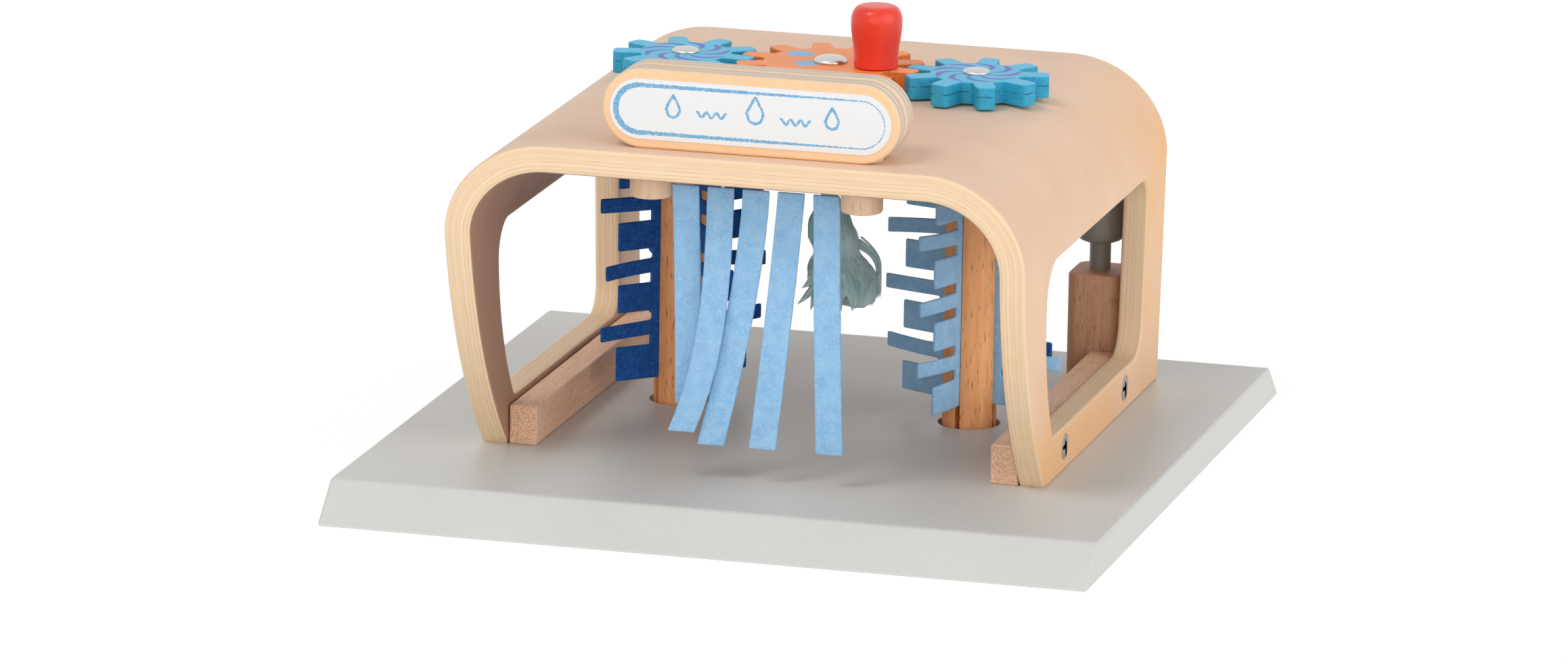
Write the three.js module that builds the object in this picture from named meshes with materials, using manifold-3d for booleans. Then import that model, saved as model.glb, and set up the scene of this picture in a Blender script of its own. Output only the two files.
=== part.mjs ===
// A wooden toy car wash. A board with a ramp at each end carries an arch of bent plywood. Turning
// the knob on the roof turns the crank gear and a yarn mop under it and, through two driven gears,
// two upright rollers with felt flags. Felt strips hang in the entrance, below the sign.
//
// Millimetres. X points right, Y back along the lane and Z up, and the origin is the middle of the
// board's underside. Heights of what stands on the board are measured from the board's top.
import * as THREE from 'three';
import { mergeVertices } from 'three/addons/utils/BufferGeometryUtils.js';
import Module from 'manifold-3d';

const wasm = await Module();
wasm.setup();

// Gaps and round counts
const fitGap = 0.3; // round what is glued, pressed or screwed in place
const runningGap = 0.5; // round a shaft that turns
const cutOverrun = 5; // how far a cutter reaches past what it cuts
const mergeDistance = 0.001; // corners that lie closer than this are one corner
const roundSegments = 24;
const smallSegments = 12;
const cornerSegments = 3;

// Board
const boardWidth = 300;
const boardDepth = 325; // at the underside
const boardThickness = 15;
const rampRun = 17.5; // how far each ramp draws in at the board's top

// Bent plywood arch
const plyThickness = 10.5;
const frontMargin = 72.5; // board that is free in front of the legs
const backMargin = 33; // board that is free behind the legs
const roofHeight = 129.5;
const roofOverhang = 49.5; // roof's front edge before the legs' feet
const legCurveDrop = 11.5; // roof top to where the legs' front edge starts to sweep back
const legSplay = 1.8; // a leg leans out by this much at its top
const shoulderReach = 40;
const shoulderDrop = 37.4;

// Windows in both walls
const windowDrop = 41; // roof top to the windows' top edge
const sillRise = 1.8; // rail top to the windows' sill
const frontPillar = 40; // roof's front edge to the windows' front edge
const backPillar = 29.5;
const windowSetback = 18.9; // how far the front edge sweeps back down to the sill
const windowBackCorner = 11;
const windowTopCorner = 14;
const windowLowCorner = 6;

// Guide rails
const railWidth = 11;
const railHeight = 15.5;
const railLead = 0.5; // how far the rails start before the legs

// Screws
const screwHeadDiameter = 9.4;
const screwShankDiameter = 3.6;
const screwTip = 3;
const recessLengthShare = 0.6; // cross recess, as shares of the head's diameter
const recessWidthShare = 0.15;
const recessDepthShare = 0.17;
const sideScrewGrip = 8.2; // length in the rail
const sideScrewFrontInset = 28.9; // from the legs' front foot
const sideScrewBackInset = 57.3; // from the arch's back edge
const sideScrewHeightShare = 0.606; // of the rail's height
const baseScrewGrip = 9; // length in the rail or block
const baseScrewFrontInset = 12.5;
const baseScrewBackInset = 40;
const baseScrewRecess = 0.5; // head below the board's underside
const battenScrewHeadDiameter = 5.6;
const battenScrewShankDiameter = 2.6;
const battenScrewGrip = 7; // length in the roof
const battenScrewInset = 9; // from the batten's ends

// Block, post and bell behind the right rail
const blockWidth = 21.6;
const blockDepth = 24.3;
const blockHeight = 46;
const blockCorner = 5;
const postDiameter = 8.4;
const postReach = 11.4; // free height between block and bell
const postSeat = 8; // depth in the block and in the bell
const bellDiameter = 20.5;
const bellHeight = 22;
const bellRadiusShares = [0.62, 0.86, 1, 1, 0.93, 0.7, 0.36]; // of the bell's radius
const bellHeightShares = [0, 0.05, 0.2, 0.55, 0.78, 0.93, 1]; // of the bell's height

// Gears
const gearModule = 5.56;
const crankTeeth = 12;
const drivenTeeth = 9;
const toothAddendum = 3.2;
const toothDedendum = 7;
const toothFlankShare = 0.6; // how wide a band of each tooth's wave is flank
const pointsPerTooth = 12;
const gearThickness = 8.8;
const gearRowInset = 93.2; // from the arch's back edge to the line of the gear centres
const crankPhase = THREE.MathUtils.degToRad(-9.27); // where a tooth of the crank gear points
const washerDiameter = 16;
const washerThickness = 0.8;
const shaftDiameter = 8;
const crankDomeDiameter = 13.1;
const crankDomeHeight = 2.8;
const capDiameter = 10.8;
const capHeight = 1.9;
const capShankDiameter = 3;
const capShankLength = 12;

// Knob on the crank gear
const knobOrbit = 19.5;
const knobAngle = THREE.MathUtils.degToRad(-10.7);
const knobDiameter = 20.1;
const knobHeight = 24.3;
const knobRadiusShares = [0.86, 0.856, 0.9, 0.97, 1, 0.975, 0.88, 0.69]; // of the knob's radius
const knobHeightShares = [0, 0.18, 0.36, 0.55, 0.73, 0.86, 0.95, 1]; // of the knob's height
const knobPinDiameter = 6;
const knobPinSeat = 15; // depth in the knob

// Crank axle and the yarn mop that hangs from it
const axleHang = 24; // axle below the roof's underside
const collarDiameter = 14;
const collarHeight = 6;
const mopLength = 55.5; // below the axle
const mopNeckDiameter = 4.4;
const mopSeat = 8; // depth in the axle
const mopFlagGap = 1.9; // between the mop and the longest flags
const mopLobes = 9;
const mopLobeShare = 0.08;
const mopTwistShare = 0.12; // of a turn, over the mop's length
const mopDropShares = [0.18, 0.26, 0.31, 0.38, 0.5, 0.65, 0.8, 0.92, 1]; // of the mop's length
const mopOffsetShares = [0.08, 0.17, 0.2, 0.24, 0.27, 0.28, 0.27, 0.25, 0.23]; // of its room
const mopRadiusShares = [0.13, 0.2, 0.17, 0.32, 0.5, 0.62, 0.66, 0.6, 0.42]; // of its room
const mopSides = 36;

// Brush rollers
const rollerDiameter = 21.2;
const rollerSocketDepth = 11; // blind hole in the board
const rollerSocketGap = 1.65;
const rollerCoreDiameter = 7; // wood that is left between the kerfs
const kerfHeadroom = 0.6; // kerfs end above the flags by this much
const kerfsPerRoller = 4;

// Felt flags
const feltThickness = 1.5;
const flagSeatDiameter = 10; // inner edge of the flags, round the roller's axis
const flagFootHeight = 8.5;
const flagShoulderGap = 2; // between the flags' top corners and the arch's bent shoulder
const flagRailGap = 2.6; // between wide tabs and the rails
const wideTabReach = 29.02; // from the roller's axis
const wideTab = 11.5;
const narrowTab = 6;
const tabSlot = 3.7;
const narrowTabExtra = 7.5; // narrow tabs reach further than wide ones by this
const slotRootGap = 3; // between the roller's surface and the slots' roots
const leftFlagAngle = THREE.MathUtils.degToRad(-135);
const rightFlagAngle = THREE.MathUtils.degToRad(-102);

// Sign
const signWidth = 116;
const signHeight = 30.6;
const signBoardThickness = 10.5;
const signInset = 19.6; // from the roof's front edge to the joint between the boards
const signOffset = 4; // to the right of the middle
const labelSideMargin = 3.2;
const labelEdgeMargin = 3.75;
const labelThickness = 0.35;
const pegDiameter = 16;
const pegMargin = 16.7; // from a peg's axis to the sign's end
const pegSeat = 8; // depth in the sign
const pegHang = 10; // below the roof's underside

// Felt curtain
const stripCount = 5;
const stripWidth = 10.4;
const stripFloorGap = 13.8; // below the longest strips
const curtainSideGap = 0.5; // between the curtain and the pegs
const hingeDrop = 4.7; // roof's underside to the line that the strips swing about
const hingeGap = 0.9; // header's lower edge to that line
const stripBow = 1.2;
const stripSteps = 12;
const stripLengthShares = [0.85, 0.95, 1, 1, 1];
const stripLeanShares = [0.04, -0.143, -0.163, -0.097, 0.027]; // sideways, of a strip's length
const stripCurveShares = [1, 2.2, 1.5, 1.1, 1]; // power by which the lean grows down a strip
const stripBowShares = [-1, 1, 0.6, -0.5, 0.8];
const stripTilts = [1.5, -1.5, 0, 0, 0].map(THREE.MathUtils.degToRad); // the first two cross
const battenDepth = 8;
const battenLift = 0.5; // from that line up to the batten's underside

// Places that follow from the sizes
const boardTopDepth = boardDepth - 2 * rampRun;
const archBackY = boardTopDepth / 2 - backMargin;
const footFrontY = -boardTopDepth / 2 + frontMargin;
const roofFrontY = footFrontY - roofOverhang;
const roofUnderside = roofHeight - plyThickness;
const rollerX = gearModule * (crankTeeth + drivenTeeth) / 2;
const railInnerX = rollerX + wideTabReach + flagRailGap;
const railOuterX = railInnerX + railWidth;
const footHalfWidth = railOuterX + fitGap + plyThickness;
const legHeight = roofHeight - shoulderDrop;
const blockX = railOuterX - blockWidth / 2;
const blockY = archBackY - blockDepth / 2;
const gearRowY = archBackY - gearRowInset;
const rollerTop = roofUnderside - fitGap;
const gearBottom = roofHeight + washerThickness;
const gearTop = gearBottom + gearThickness;
const axleBottom = roofUnderside - axleHang;
const narrowTabReach = wideTabReach + narrowTabExtra;
const shoulderX = footHalfWidth + legSplay - shoulderReach;
const shoulderShare = (railInnerX - flagRailGap + flagShoulderGap - shoulderX)
  / (shoulderReach - plyThickness);
const flagTop = legHeight
  + (shoulderDrop - plyThickness) * Math.sin(Math.acos(shoulderShare));
const mopRoom = rollerX - narrowTabReach - mopFlagGap;
const signJointY = roofFrontY + signInset;
const pegSpacing = signWidth - 2 * pegMargin;
const curtainWidth = pegSpacing - pegDiameter - 2 * curtainSideGap;
const hingeHeight = roofUnderside - hingeDrop;
const stripLength = hingeHeight - stripFloorGap;
const battenHeight = hingeDrop - battenLift;
const battenY = signJointY + feltThickness / 2 + fitGap + battenDepth / 2;
const alongX = new THREE.Matrix4().makeBasis(
  new THREE.Vector3(0, 1, 0),
  new THREE.Vector3(0, 0, 1),
  new THREE.Vector3(1, 0, 0),
);

// Finishes
function finish(color, roughness, metalness = 0) {
  return new THREE.MeshStandardMaterial({ color, roughness, metalness, flatShading: true });
}
const greyLacquer = finish(0xcccccb, 0.45);
const plywood = finish(0xe6c39d, 0.5);
const beech = finish(0xc79b78, 0.6);
const rollerBeech = finish(0xb9794c, 0.6);
const dowelWood = finish(0xdcb48c, 0.6);
const orangeWood = finish(0xf58b3c, 0.5);
const blueWood = finish(0x4aa3cf, 0.5);
const redLacquer = finish(0xe5452d, 0.3);
const nickel = finish(0xc8c8c8, 0.25, 1);
const darkPlastic = finish(0x77756e, 0.45);
const washerPlastic = finish(0xe4e2dc, 0.5);
const labelCard = finish(0xeef0ee, 0.6);
const paleFelt = finish(0x86b4dc, 1);
const darkFelt = finish(0x1f4a8c, 1);
const yarn = finish(0x7fa8a3, 1);

// Makes a surface closed: shared corners are merged, and faces that lose an edge by it go.
function closed(geometry) {
  geometry.deleteAttribute('normal');
  geometry.deleteAttribute('uv');
  const merged = mergeVertices(geometry, mergeDistance);
  const corners = merged.index.array;
  const kept = [];
  for (let i = 0; i < corners.length; i += 3) {
    const [a, b, c] = corners.slice(i, i + 3);
    if (a !== b && b !== c && c !== a) {
      kept.push(a, b, c);
    }
  }
  merged.setIndex(kept);
  return merged;
}

function toSolid(geometry) {
  const surface = closed(geometry.clone());
  const vertProperties = Float32Array.from(surface.attributes.position.array);
  const triVerts = Uint32Array.from(surface.index.array);
  return new wasm.Manifold(new wasm.Mesh({ numProp: 3, vertProperties, triVerts }));
}

// The body without what the cutters hold.
function cut(body, cutters) {
  let solid = toSolid(body);
  for (const cutter of cutters) {
    solid = solid.subtract(toSolid(cutter));
  }
  const mesh = solid.getMesh();
  const geometry = new THREE.BufferGeometry();
  geometry.setAttribute('position', new THREE.BufferAttribute(mesh.vertProperties, 3));
  geometry.setIndex(new THREE.BufferAttribute(mesh.triVerts, 1));
  return geometry;
}

function addPiece(parent, name, geometry, material) {
  const mesh = new THREE.Mesh(closed(geometry), material);
  mesh.name = name;
  parent.add(mesh);
  return mesh;
}

function block(width, depth, bottom, top) {
  return new THREE.BoxGeometry(width, depth, top - bottom).translate(0, 0, (bottom + top) / 2);
}

function rod(diameter, bottom, top, segments = roundSegments) {
  const geometry = new THREE.CylinderGeometry(diameter / 2, diameter / 2, top - bottom, segments);
  return geometry.rotateX(Math.PI / 2).translate(0, 0, (bottom + top) / 2);
}

// A shape drawn in X and Y, raised from one height to another.
function raised(shape, bottom, top, curveSegments = cornerSegments) {
  const options = { depth: top - bottom, bevelEnabled: false, curveSegments };
  return new THREE.ExtrudeGeometry(shape, options).translate(0, 0, bottom);
}

// A shape drawn in Y and Z, drawn out from one X to another.
function drawnAlongX(shape, fromX, toX, curveSegments = cornerSegments) {
  return raised(shape, fromX, toX, curveSegments).applyMatrix4(alongX);
}

// A shape drawn in X and Z, drawn out from one Y to another.
function drawnAlongY(shape, fromY, toY, curveSegments = cornerSegments) {
  return raised(shape, -toY, -fromY, curveSegments).rotateX(Math.PI / 2);
}

// A profile of radii and heights turned about Z, from its lowest point on the axis to its highest.
function turned(profile, segments = roundSegments) {
  const points = profile.map(([radius, height]) => new THREE.Vector2(radius, height));
  return new THREE.LatheGeometry(points, segments).rotateX(Math.PI / 2);
}

// A skin over rings of points that all have the same count, with a flat end on each.
function lofted(rings) {
  const count = rings[0].length;
  const faces = [];
  for (let ring = 0; ring < rings.length - 1; ring += 1) {
    for (let i = 0; i < count; i += 1) {
      const next = (i + 1) % count;
      const [a, b] = [ring * count + i, ring * count + next];
      faces.push(a, b, b + count, a, b + count, a + count);
    }
  }
  const last = (rings.length - 1) * count;
  for (let i = 1; i < count - 1; i += 1) {
    faces.push(0, i + 1, i, last, last + i, last + i + 1);
  }
  const geometry = new THREE.BufferGeometry().setFromPoints(rings.flat());
  geometry.setIndex(faces);
  return geometry;
}

// A countersunk screw that points down from its face at height 0, with a cross recess.
function screw(headDiameter, shankDiameter, length) {
  const [headRadius, shankRadius] = [headDiameter / 2, shankDiameter / 2];
  const body = turned([
    [0, -length],
    [shankRadius, screwTip - length],
    [shankRadius, shankRadius - headRadius],
    [headRadius, 0],
    [0, 0],
  ], smallSegments);
  const recess = () => block(
    headDiameter * recessLengthShare,
    headDiameter * recessWidthShare,
    -headDiameter * recessDepthShare,
    cutOverrun,
  );
  return cut(body, [recess(), recess().rotateZ(Math.PI / 2)]);
}

// The hole for such a screw.
function screwHole(headDiameter, shankDiameter, length) {
  const [headRadius, shankRadius] = [headDiameter / 2 + fitGap, shankDiameter / 2 + fitGap];
  return turned([
    [0, -length - fitGap],
    [shankRadius, -length - fitGap],
    [shankRadius, shankRadius - headRadius],
    [headRadius, 0],
    [headRadius, cutOverrun],
    [0, cutOverrun],
  ], smallSegments);
}

// A round head on a thin shank, with the head's underside at height 0.
function nailCap(diameter, height) {
  const shankRadius = capShankDiameter / 2;
  const domeRadius = (diameter ** 2 / 4 + height ** 2) / (2 * height);
  const sweep = Math.asin(diameter / 2 / domeRadius);
  const profile = [[0, -capShankLength], [shankRadius, -capShankLength], [shankRadius, 0]];
  for (let i = 0; i <= cornerSegments; i += 1) {
    const angle = sweep * (1 - i / cornerSegments);
    profile.push([domeRadius * Math.sin(angle), height - domeRadius * (1 - Math.cos(angle))]);
  }
  return turned(profile);
}

// The hole for that shank in a shaft that ends at the given height.
function capHole(shaftTop) {
  return rod(
    capShankDiameter + 2 * fitGap,
    gearTop - capShankLength - fitGap,
    shaftTop + cutOverrun,
    smallSegments,
  );
}

// The radius of an arc that starts upright and draws in by a setback over a height.
function sweepRadius(height, setback) {
  return (height ** 2 + setback ** 2) / (2 * setback);
}

function roundedRectangle(width, height, radius) {
  const [x, y] = [width / 2 - radius, height / 2 - radius];
  const shape = new THREE.Shape();
  shape.absarc(x, -y, radius, -Math.PI / 2, 0);
  shape.absarc(x, y, radius, 0, Math.PI / 2);
  shape.absarc(-x, y, radius, Math.PI / 2, Math.PI);
  shape.absarc(-x, -y, radius, Math.PI, 1.5 * Math.PI);
  return shape;
}

const carWash = new THREE.Group();
const deck = new THREE.Group();
deck.position.z = boardThickness;
carWash.add(deck);

// Places of the screws
const baseScrewLength = boardThickness - baseScrewRecess + baseScrewGrip;
const baseScrewPlaces = [];
for (const x of [railInnerX - railOuterX, railOuterX - railInnerX]) {
  for (const y of [footFrontY + baseScrewFrontInset, archBackY - baseScrewBackInset]) {
    baseScrewPlaces.push([Math.sign(x) * (railOuterX + railInnerX) / 2, y]);
  }
}
const blockScrewPlace = [blockX, blockY];
const sideScrewHeight = railHeight * sideScrewHeightShare;
const sideScrewX = footHalfWidth + legSplay * sideScrewHeight / legHeight;
const sideScrewLength = sideScrewX - railOuterX + sideScrewGrip;
const sideScrewPlaces = {
  front_left: [-1, footFrontY + sideScrewFrontInset],
  rear_left: [-1, archBackY - sideScrewBackInset],
  front_right: [1, footFrontY + sideScrewFrontInset],
  rear_right: [1, archBackY - sideScrewBackInset],
};
const battenScrewLength = battenHeight + battenScrewGrip;
const battenScrewXs = [-1, 1].map((side) => signOffset + side * (curtainWidth / 2 - battenScrewInset));

// Turns a screw or its hole from its own upright place to one of the places above.
function fromBelow(geometry, [x, y]) {
  return geometry.rotateX(Math.PI).translate(x, y, baseScrewRecess - boardThickness);
}
function fromSide(geometry, [side, y]) {
  return geometry.rotateY(side * Math.PI / 2).translate(side * sideScrewX, y, sideScrewHeight);
}
function intoRoof(geometry, x) {
  return geometry.rotateX(Math.PI).translate(x, battenY, roofUnderside - battenHeight);
}
const baseScrewHoles = [...baseScrewPlaces, blockScrewPlace].map((place) => (
  fromBelow(screwHole(screwHeadDiameter, screwShankDiameter, baseScrewLength), place)
));
const sideScrewHoles = Object.values(sideScrewPlaces).map((place) => (
  fromSide(screwHole(screwHeadDiameter, screwShankDiameter, sideScrewLength), place)
));
const battenScrewHoles = battenScrewXs.map((x) => (
  intoRoof(screwHole(battenScrewHeadDiameter, battenScrewShankDiameter, battenScrewLength), x)
));

// Board, with blind sockets for the rollers' lower ends
const boardSection = new THREE.Shape([
  new THREE.Vector2(-boardDepth / 2, -boardThickness),
  new THREE.Vector2(boardDepth / 2, -boardThickness),
  new THREE.Vector2(boardTopDepth / 2, 0),
  new THREE.Vector2(-boardTopDepth / 2, 0),
]);
const rollerSockets = [-rollerX, rollerX].map((x) => (
  rod(rollerDiameter + 2 * rollerSocketGap, -rollerSocketDepth, cutOverrun).translate(x, gearRowY, 0)
));
const board = drawnAlongX(boardSection, -boardWidth / 2, boardWidth / 2);
addPiece(deck, 'base_plate', cut(board, [...rollerSockets, ...baseScrewHoles]), greyLacquer);

// Arch: one bent sheet, with its front edge swept back to the feet and a window in each wall
function archSection() {
  const inset = plyThickness;
  const shape = new THREE.Shape();
  shape.moveTo(footHalfWidth - inset, 0);
  shape.lineTo(footHalfWidth, 0);
  shape.absellipse(shoulderX, legHeight, shoulderReach, shoulderDrop, 0, Math.PI / 2);
  shape.absellipse(-shoulderX, legHeight, shoulderReach, shoulderDrop, Math.PI / 2, Math.PI);
  shape.lineTo(-footHalfWidth, 0);
  shape.lineTo(inset - footHalfWidth, 0);
  const [innerReach, innerDrop] = [shoulderReach - inset, shoulderDrop - inset];
  shape.absellipse(-shoulderX, legHeight, innerReach, innerDrop, Math.PI, Math.PI / 2, true);
  shape.absellipse(shoulderX, legHeight, innerReach, innerDrop, Math.PI / 2, 0, true);
  return shape;
}

function legFrontCutter() {
  const sweepTop = roofHeight - legCurveDrop;
  const radius = sweepRadius(sweepTop, roofOverhang);
  const footAngle = Math.PI + Math.asin(sweepTop / radius);
  const shape = new THREE.Shape();
  shape.moveTo(roofFrontY - cutOverrun, sweepTop);
  shape.lineTo(roofFrontY - cutOverrun, -cutOverrun);
  shape.lineTo(footFrontY, -cutOverrun);
  shape.absarc(roofFrontY + radius, sweepTop, radius, footAngle, Math.PI, true);
  const reach = boardWidth / 2 + cutOverrun;
  return drawnAlongX(shape, -reach, reach, 3 * cornerSegments);
}

function windowCutter() {
  const [frontY, backY] = [roofFrontY + frontPillar, archBackY - backPillar];
  const [sill, top] = [railHeight + sillRise, roofHeight - windowDrop];
  const sweepTop = top - windowTopCorner;
  const radius = sweepRadius(sweepTop - sill, windowSetback);
  const sweepY = frontY + radius;
  const lowCentreZ = sill + windowLowCorner;
  const lowAngle = Math.asin((sweepTop - lowCentreZ) / (radius - windowLowCorner));
  const lowCentreY = sweepY - (radius - windowLowCorner) * Math.cos(lowAngle);
  const shape = new THREE.Shape();
  const backCornerY = backY - windowBackCorner;
  shape.absarc(backCornerY, sill + windowBackCorner, windowBackCorner, -Math.PI / 2, 0);
  shape.absarc(backCornerY, top - windowBackCorner, windowBackCorner, 0, Math.PI / 2);
  shape.absarc(frontY + windowTopCorner, sweepTop, windowTopCorner, Math.PI / 2, Math.PI);
  shape.absarc(sweepY, sweepTop, radius, Math.PI, Math.PI + lowAngle);
  shape.absarc(lowCentreY, lowCentreZ, windowLowCorner, Math.PI + lowAngle, 1.5 * Math.PI);
  const reach = boardWidth / 2 + cutOverrun;
  return drawnAlongX(shape, -reach, reach, 2 * cornerSegments);
}

const pegXs = [-1, 1].map((side) => signOffset + side * pegSpacing / 2);
const roofBore = (diameter, x, y) => (
  rod(diameter, roofUnderside - cutOverrun, roofHeight + cutOverrun).translate(x, y, 0)
);
const arch = drawnAlongY(archSection(), roofFrontY, archBackY, 2 * cornerSegments);
const archCutters = [
  legFrontCutter(),
  windowCutter(),
  ...[-rollerX, 0, rollerX].map((x) => roofBore(shaftDiameter + 2 * runningGap, x, gearRowY)),
  ...pegXs.map((x) => roofBore(pegDiameter + 2 * fitGap, x, signJointY)),
  ...sideScrewHoles,
  ...battenScrewHoles,
];
addPiece(deck, 'roof_arch', cut(arch, archCutters), plywood);

// Rails, the right one stopping at the block
const rightRailEnd = blockY - blockDepth / 2 - fitGap;
for (const [name, side, end] of [['rail_left', -1, archBackY], ['rail_right', 1, rightRailEnd]]) {
  const start = footFrontY - railLead;
  const rail = block(railWidth, end - start, 0, railHeight);
  rail.translate(side * (railInnerX + railOuterX) / 2, (start + end) / 2, 0);
  addPiece(deck, name, cut(rail, [...baseScrewHoles, ...sideScrewHoles]), beech);
}

// Screws
for (const [place, where] of Object.entries(sideScrewPlaces)) {
  const geometry = screw(screwHeadDiameter, screwShankDiameter, sideScrewLength);
  addPiece(deck, `side_screw_${place}`, fromSide(geometry, where), nickel);
}
baseScrewPlaces.forEach((place, i) => {
  const geometry = screw(screwHeadDiameter, screwShankDiameter, baseScrewLength);
  addPiece(deck, `base_screw_${i + 1}`, fromBelow(geometry, place), nickel);
});
const blockScrew = screw(screwHeadDiameter, screwShankDiameter, baseScrewLength);
addPiece(deck, 'block_screw', fromBelow(blockScrew, blockScrewPlace), nickel);
battenScrewXs.forEach((x, i) => {
  const geometry = screw(battenScrewHeadDiameter, battenScrewShankDiameter, battenScrewLength);
  addPiece(deck, `batten_screw_${i + 1}`, intoRoof(geometry, x), nickel);
});

// Block, post and bell
const bellBottom = blockHeight + postReach;
const postHole = rod(postDiameter + 2 * fitGap, blockHeight - postSeat, bellBottom + postSeat);
const postPlace = new THREE.Group();
postPlace.position.set(blockX, blockY, 0);
deck.add(postPlace);
const blockBody = raised(roundedRectangle(blockWidth, blockDepth, blockCorner), 0, blockHeight);
const blockScrewHole = baseScrewHoles.at(-1).clone().translate(-blockX, -blockY, 0);
addPiece(postPlace, 'rear_block', cut(blockBody, [postHole, blockScrewHole]), beech);
const post = rod(postDiameter, blockHeight - postSeat + fitGap, bellBottom + postSeat - fitGap);
addPiece(postPlace, 'rear_post', post, darkPlastic);
const bellProfile = bellRadiusShares.map((share, i) => (
  [share * bellDiameter / 2, bellBottom + bellHeightShares[i] * bellHeight]
));
const bell = turned([[0, bellBottom], ...bellProfile, [0, bellBottom + bellHeight]]);
addPiece(postPlace, 'rear_bell', cut(bell, [postHole]), darkPlastic);

// Gears: the teeth are a wave, and each gear's gaps face its neighbour's teeth
function gearShape(teeth, phase) {
  const pitchRadius = gearModule * teeth / 2;
  const root = pitchRadius - toothDedendum;
  const tip = pitchRadius + toothAddendum;
  const count = teeth * pointsPerTooth;
  const points = [];
  for (let i = 0; i < count; i += 1) {
    const angle = 2 * Math.PI * i / count;
    const wave = Math.cos(teeth * angle);
    const rise = THREE.MathUtils.smoothstep(wave, -toothFlankShare, toothFlankShare);
    const radius = root + (tip - root) * rise;
    const turn = angle + phase;
    points.push(new THREE.Vector2(radius * Math.cos(turn), radius * Math.sin(turn)));
  }
  return new THREE.Shape(points);
}

const drivenPhases = {
  left: (Math.PI * (crankTeeth + 1) - crankTeeth * crankPhase) / drivenTeeth,
  right: (Math.PI * (drivenTeeth + 1) - crankTeeth * crankPhase) / drivenTeeth,
};
const gearBore = () => rod(shaftDiameter + 2 * fitGap, gearBottom - cutOverrun, gearTop + cutOverrun);

function washer() {
  const ring = rod(washerDiameter, roofHeight, gearBottom);
  const bore = shaftDiameter + 2 * runningGap;
  return cut(ring, [rod(bore, roofHeight - cutOverrun, gearBottom + cutOverrun)]);
}

// Crank: gear, axle, collar, dome and the knob's pin
const crank = new THREE.Group();
crank.position.y = gearRowY;
deck.add(crank);
const knobX = knobOrbit * Math.cos(knobAngle);
const knobY = knobOrbit * Math.sin(knobAngle);
const shaftTop = gearTop - fitGap;
const crankGear = raised(gearShape(crankTeeth, crankPhase), gearBottom, gearTop);
const pinBore = rod(knobPinDiameter + 2 * fitGap, gearBottom - cutOverrun, gearTop + cutOverrun);
pinBore.translate(knobX, knobY, 0);
addPiece(crank, 'crank_gear', cut(crankGear, [gearBore(), pinBore]), orangeWood);
addPiece(crank, 'crank_washer', washer(), washerPlastic);
const crankDome = nailCap(crankDomeDiameter, crankDomeHeight).translate(0, 0, gearTop);
addPiece(crank, 'crank_dome', crankDome, nickel);

const mopSocket = rod(
  mopNeckDiameter + 2 * fitGap,
  axleBottom - cutOverrun,
  axleBottom + mopSeat,
  smallSegments,
);
const axle = cut(rod(shaftDiameter, axleBottom, shaftTop), [capHole(shaftTop), mopSocket]);
addPiece(crank, 'crank_axle', axle, dowelWood);
const collarBottom = roofUnderside - fitGap - collarHeight;
const collarBore = rod(shaftDiameter + 2 * fitGap, collarBottom - cutOverrun, roofUnderside);
const collar = rod(collarDiameter, collarBottom, roofUnderside - fitGap);
addPiece(crank, 'crank_collar', cut(collar, [collarBore]), dowelWood);

const knobBottom = gearTop + fitGap;
const knobPinTop = knobBottom + knobPinSeat;
const knobProfile = new THREE.SplineCurve(knobRadiusShares.map((share, i) => (
  new THREE.Vector2(share * knobDiameter / 2, knobHeightShares[i] * knobHeight)
))).getPoints(4 * cornerSegments).map((point) => [point.x, point.y]);
const knobBody = turned([[0, 0], ...knobProfile, [0, knobHeight]]).translate(0, 0, knobBottom);
const knobBore = rod(knobPinDiameter + 2 * fitGap, gearTop - cutOverrun, knobPinTop + fitGap);
const knob = addPiece(crank, 'crank_knob', cut(knobBody, [knobBore]), redLacquer);
knob.position.set(knobX, knobY, 0);
const knobPin = addPiece(crank, 'knob_pin', rod(knobPinDiameter, gearBottom, knobPinTop), dowelWood);
knobPin.position.set(knobX, knobY, 0);

// Yarn mop: a tied neck that spreads into lobes, hanging a little to one side
function mopRing(height, centreX, radius, lobeShare, twist) {
  const ring = [];
  for (let i = 0; i < mopSides; i += 1) {
    const angle = 2 * Math.PI * i / mopSides;
    const reach = radius * (1 + lobeShare * Math.cos(mopLobes * angle + twist));
    ring.push(new THREE.Vector3(
      centreX + reach * Math.cos(angle),
      reach * Math.sin(angle),
      height,
    ));
  }
  return ring;
}
const mopRings = [
  mopRing(axleBottom, 0, mopNeckDiameter / 2, 0, 0),
  mopRing(axleBottom + mopSeat - fitGap, 0, mopNeckDiameter / 2, 0, 0),
];
mopDropShares.forEach((drop, i) => {
  mopRings.unshift(mopRing(
    axleBottom - drop * mopLength,
    mopOffsetShares[i] * mopRoom,
    mopRadiusShares[i] * mopRoom,
    mopLobeShare * drop,
    2 * Math.PI * mopTwistShare * drop * mopLobes,
  ));
});
addPiece(crank, 'tassel', lofted(mopRings), yarn);

// Brush rollers, each with its driven gear, cap, washer and flags
function flagShape() {
  const inner = flagSeatDiameter / 2;
  const root = rollerDiameter / 2 + slotRootGap;
  const points = [new THREE.Vector2(inner, flagFootHeight)];
  let bottom = flagFootHeight;
  let wide = true;
  while (bottom < flagTop - tabSlot) {
    const reach = wide ? wideTabReach : narrowTabReach;
    const tabTop = Math.min(bottom + (wide ? wideTab : narrowTab), flagTop);
    points.push(new THREE.Vector2(reach, bottom), new THREE.Vector2(reach, tabTop));
    if (tabTop < flagTop) {
      const slotTop = Math.min(tabTop + tabSlot, flagTop);
      points.push(new THREE.Vector2(root, tabTop), new THREE.Vector2(root, slotTop));
    }
    bottom = tabTop + tabSlot;
    wide = !wide;
  }
  points.push(new THREE.Vector2(inner, flagTop));
  return new THREE.Shape(points);
}

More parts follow.
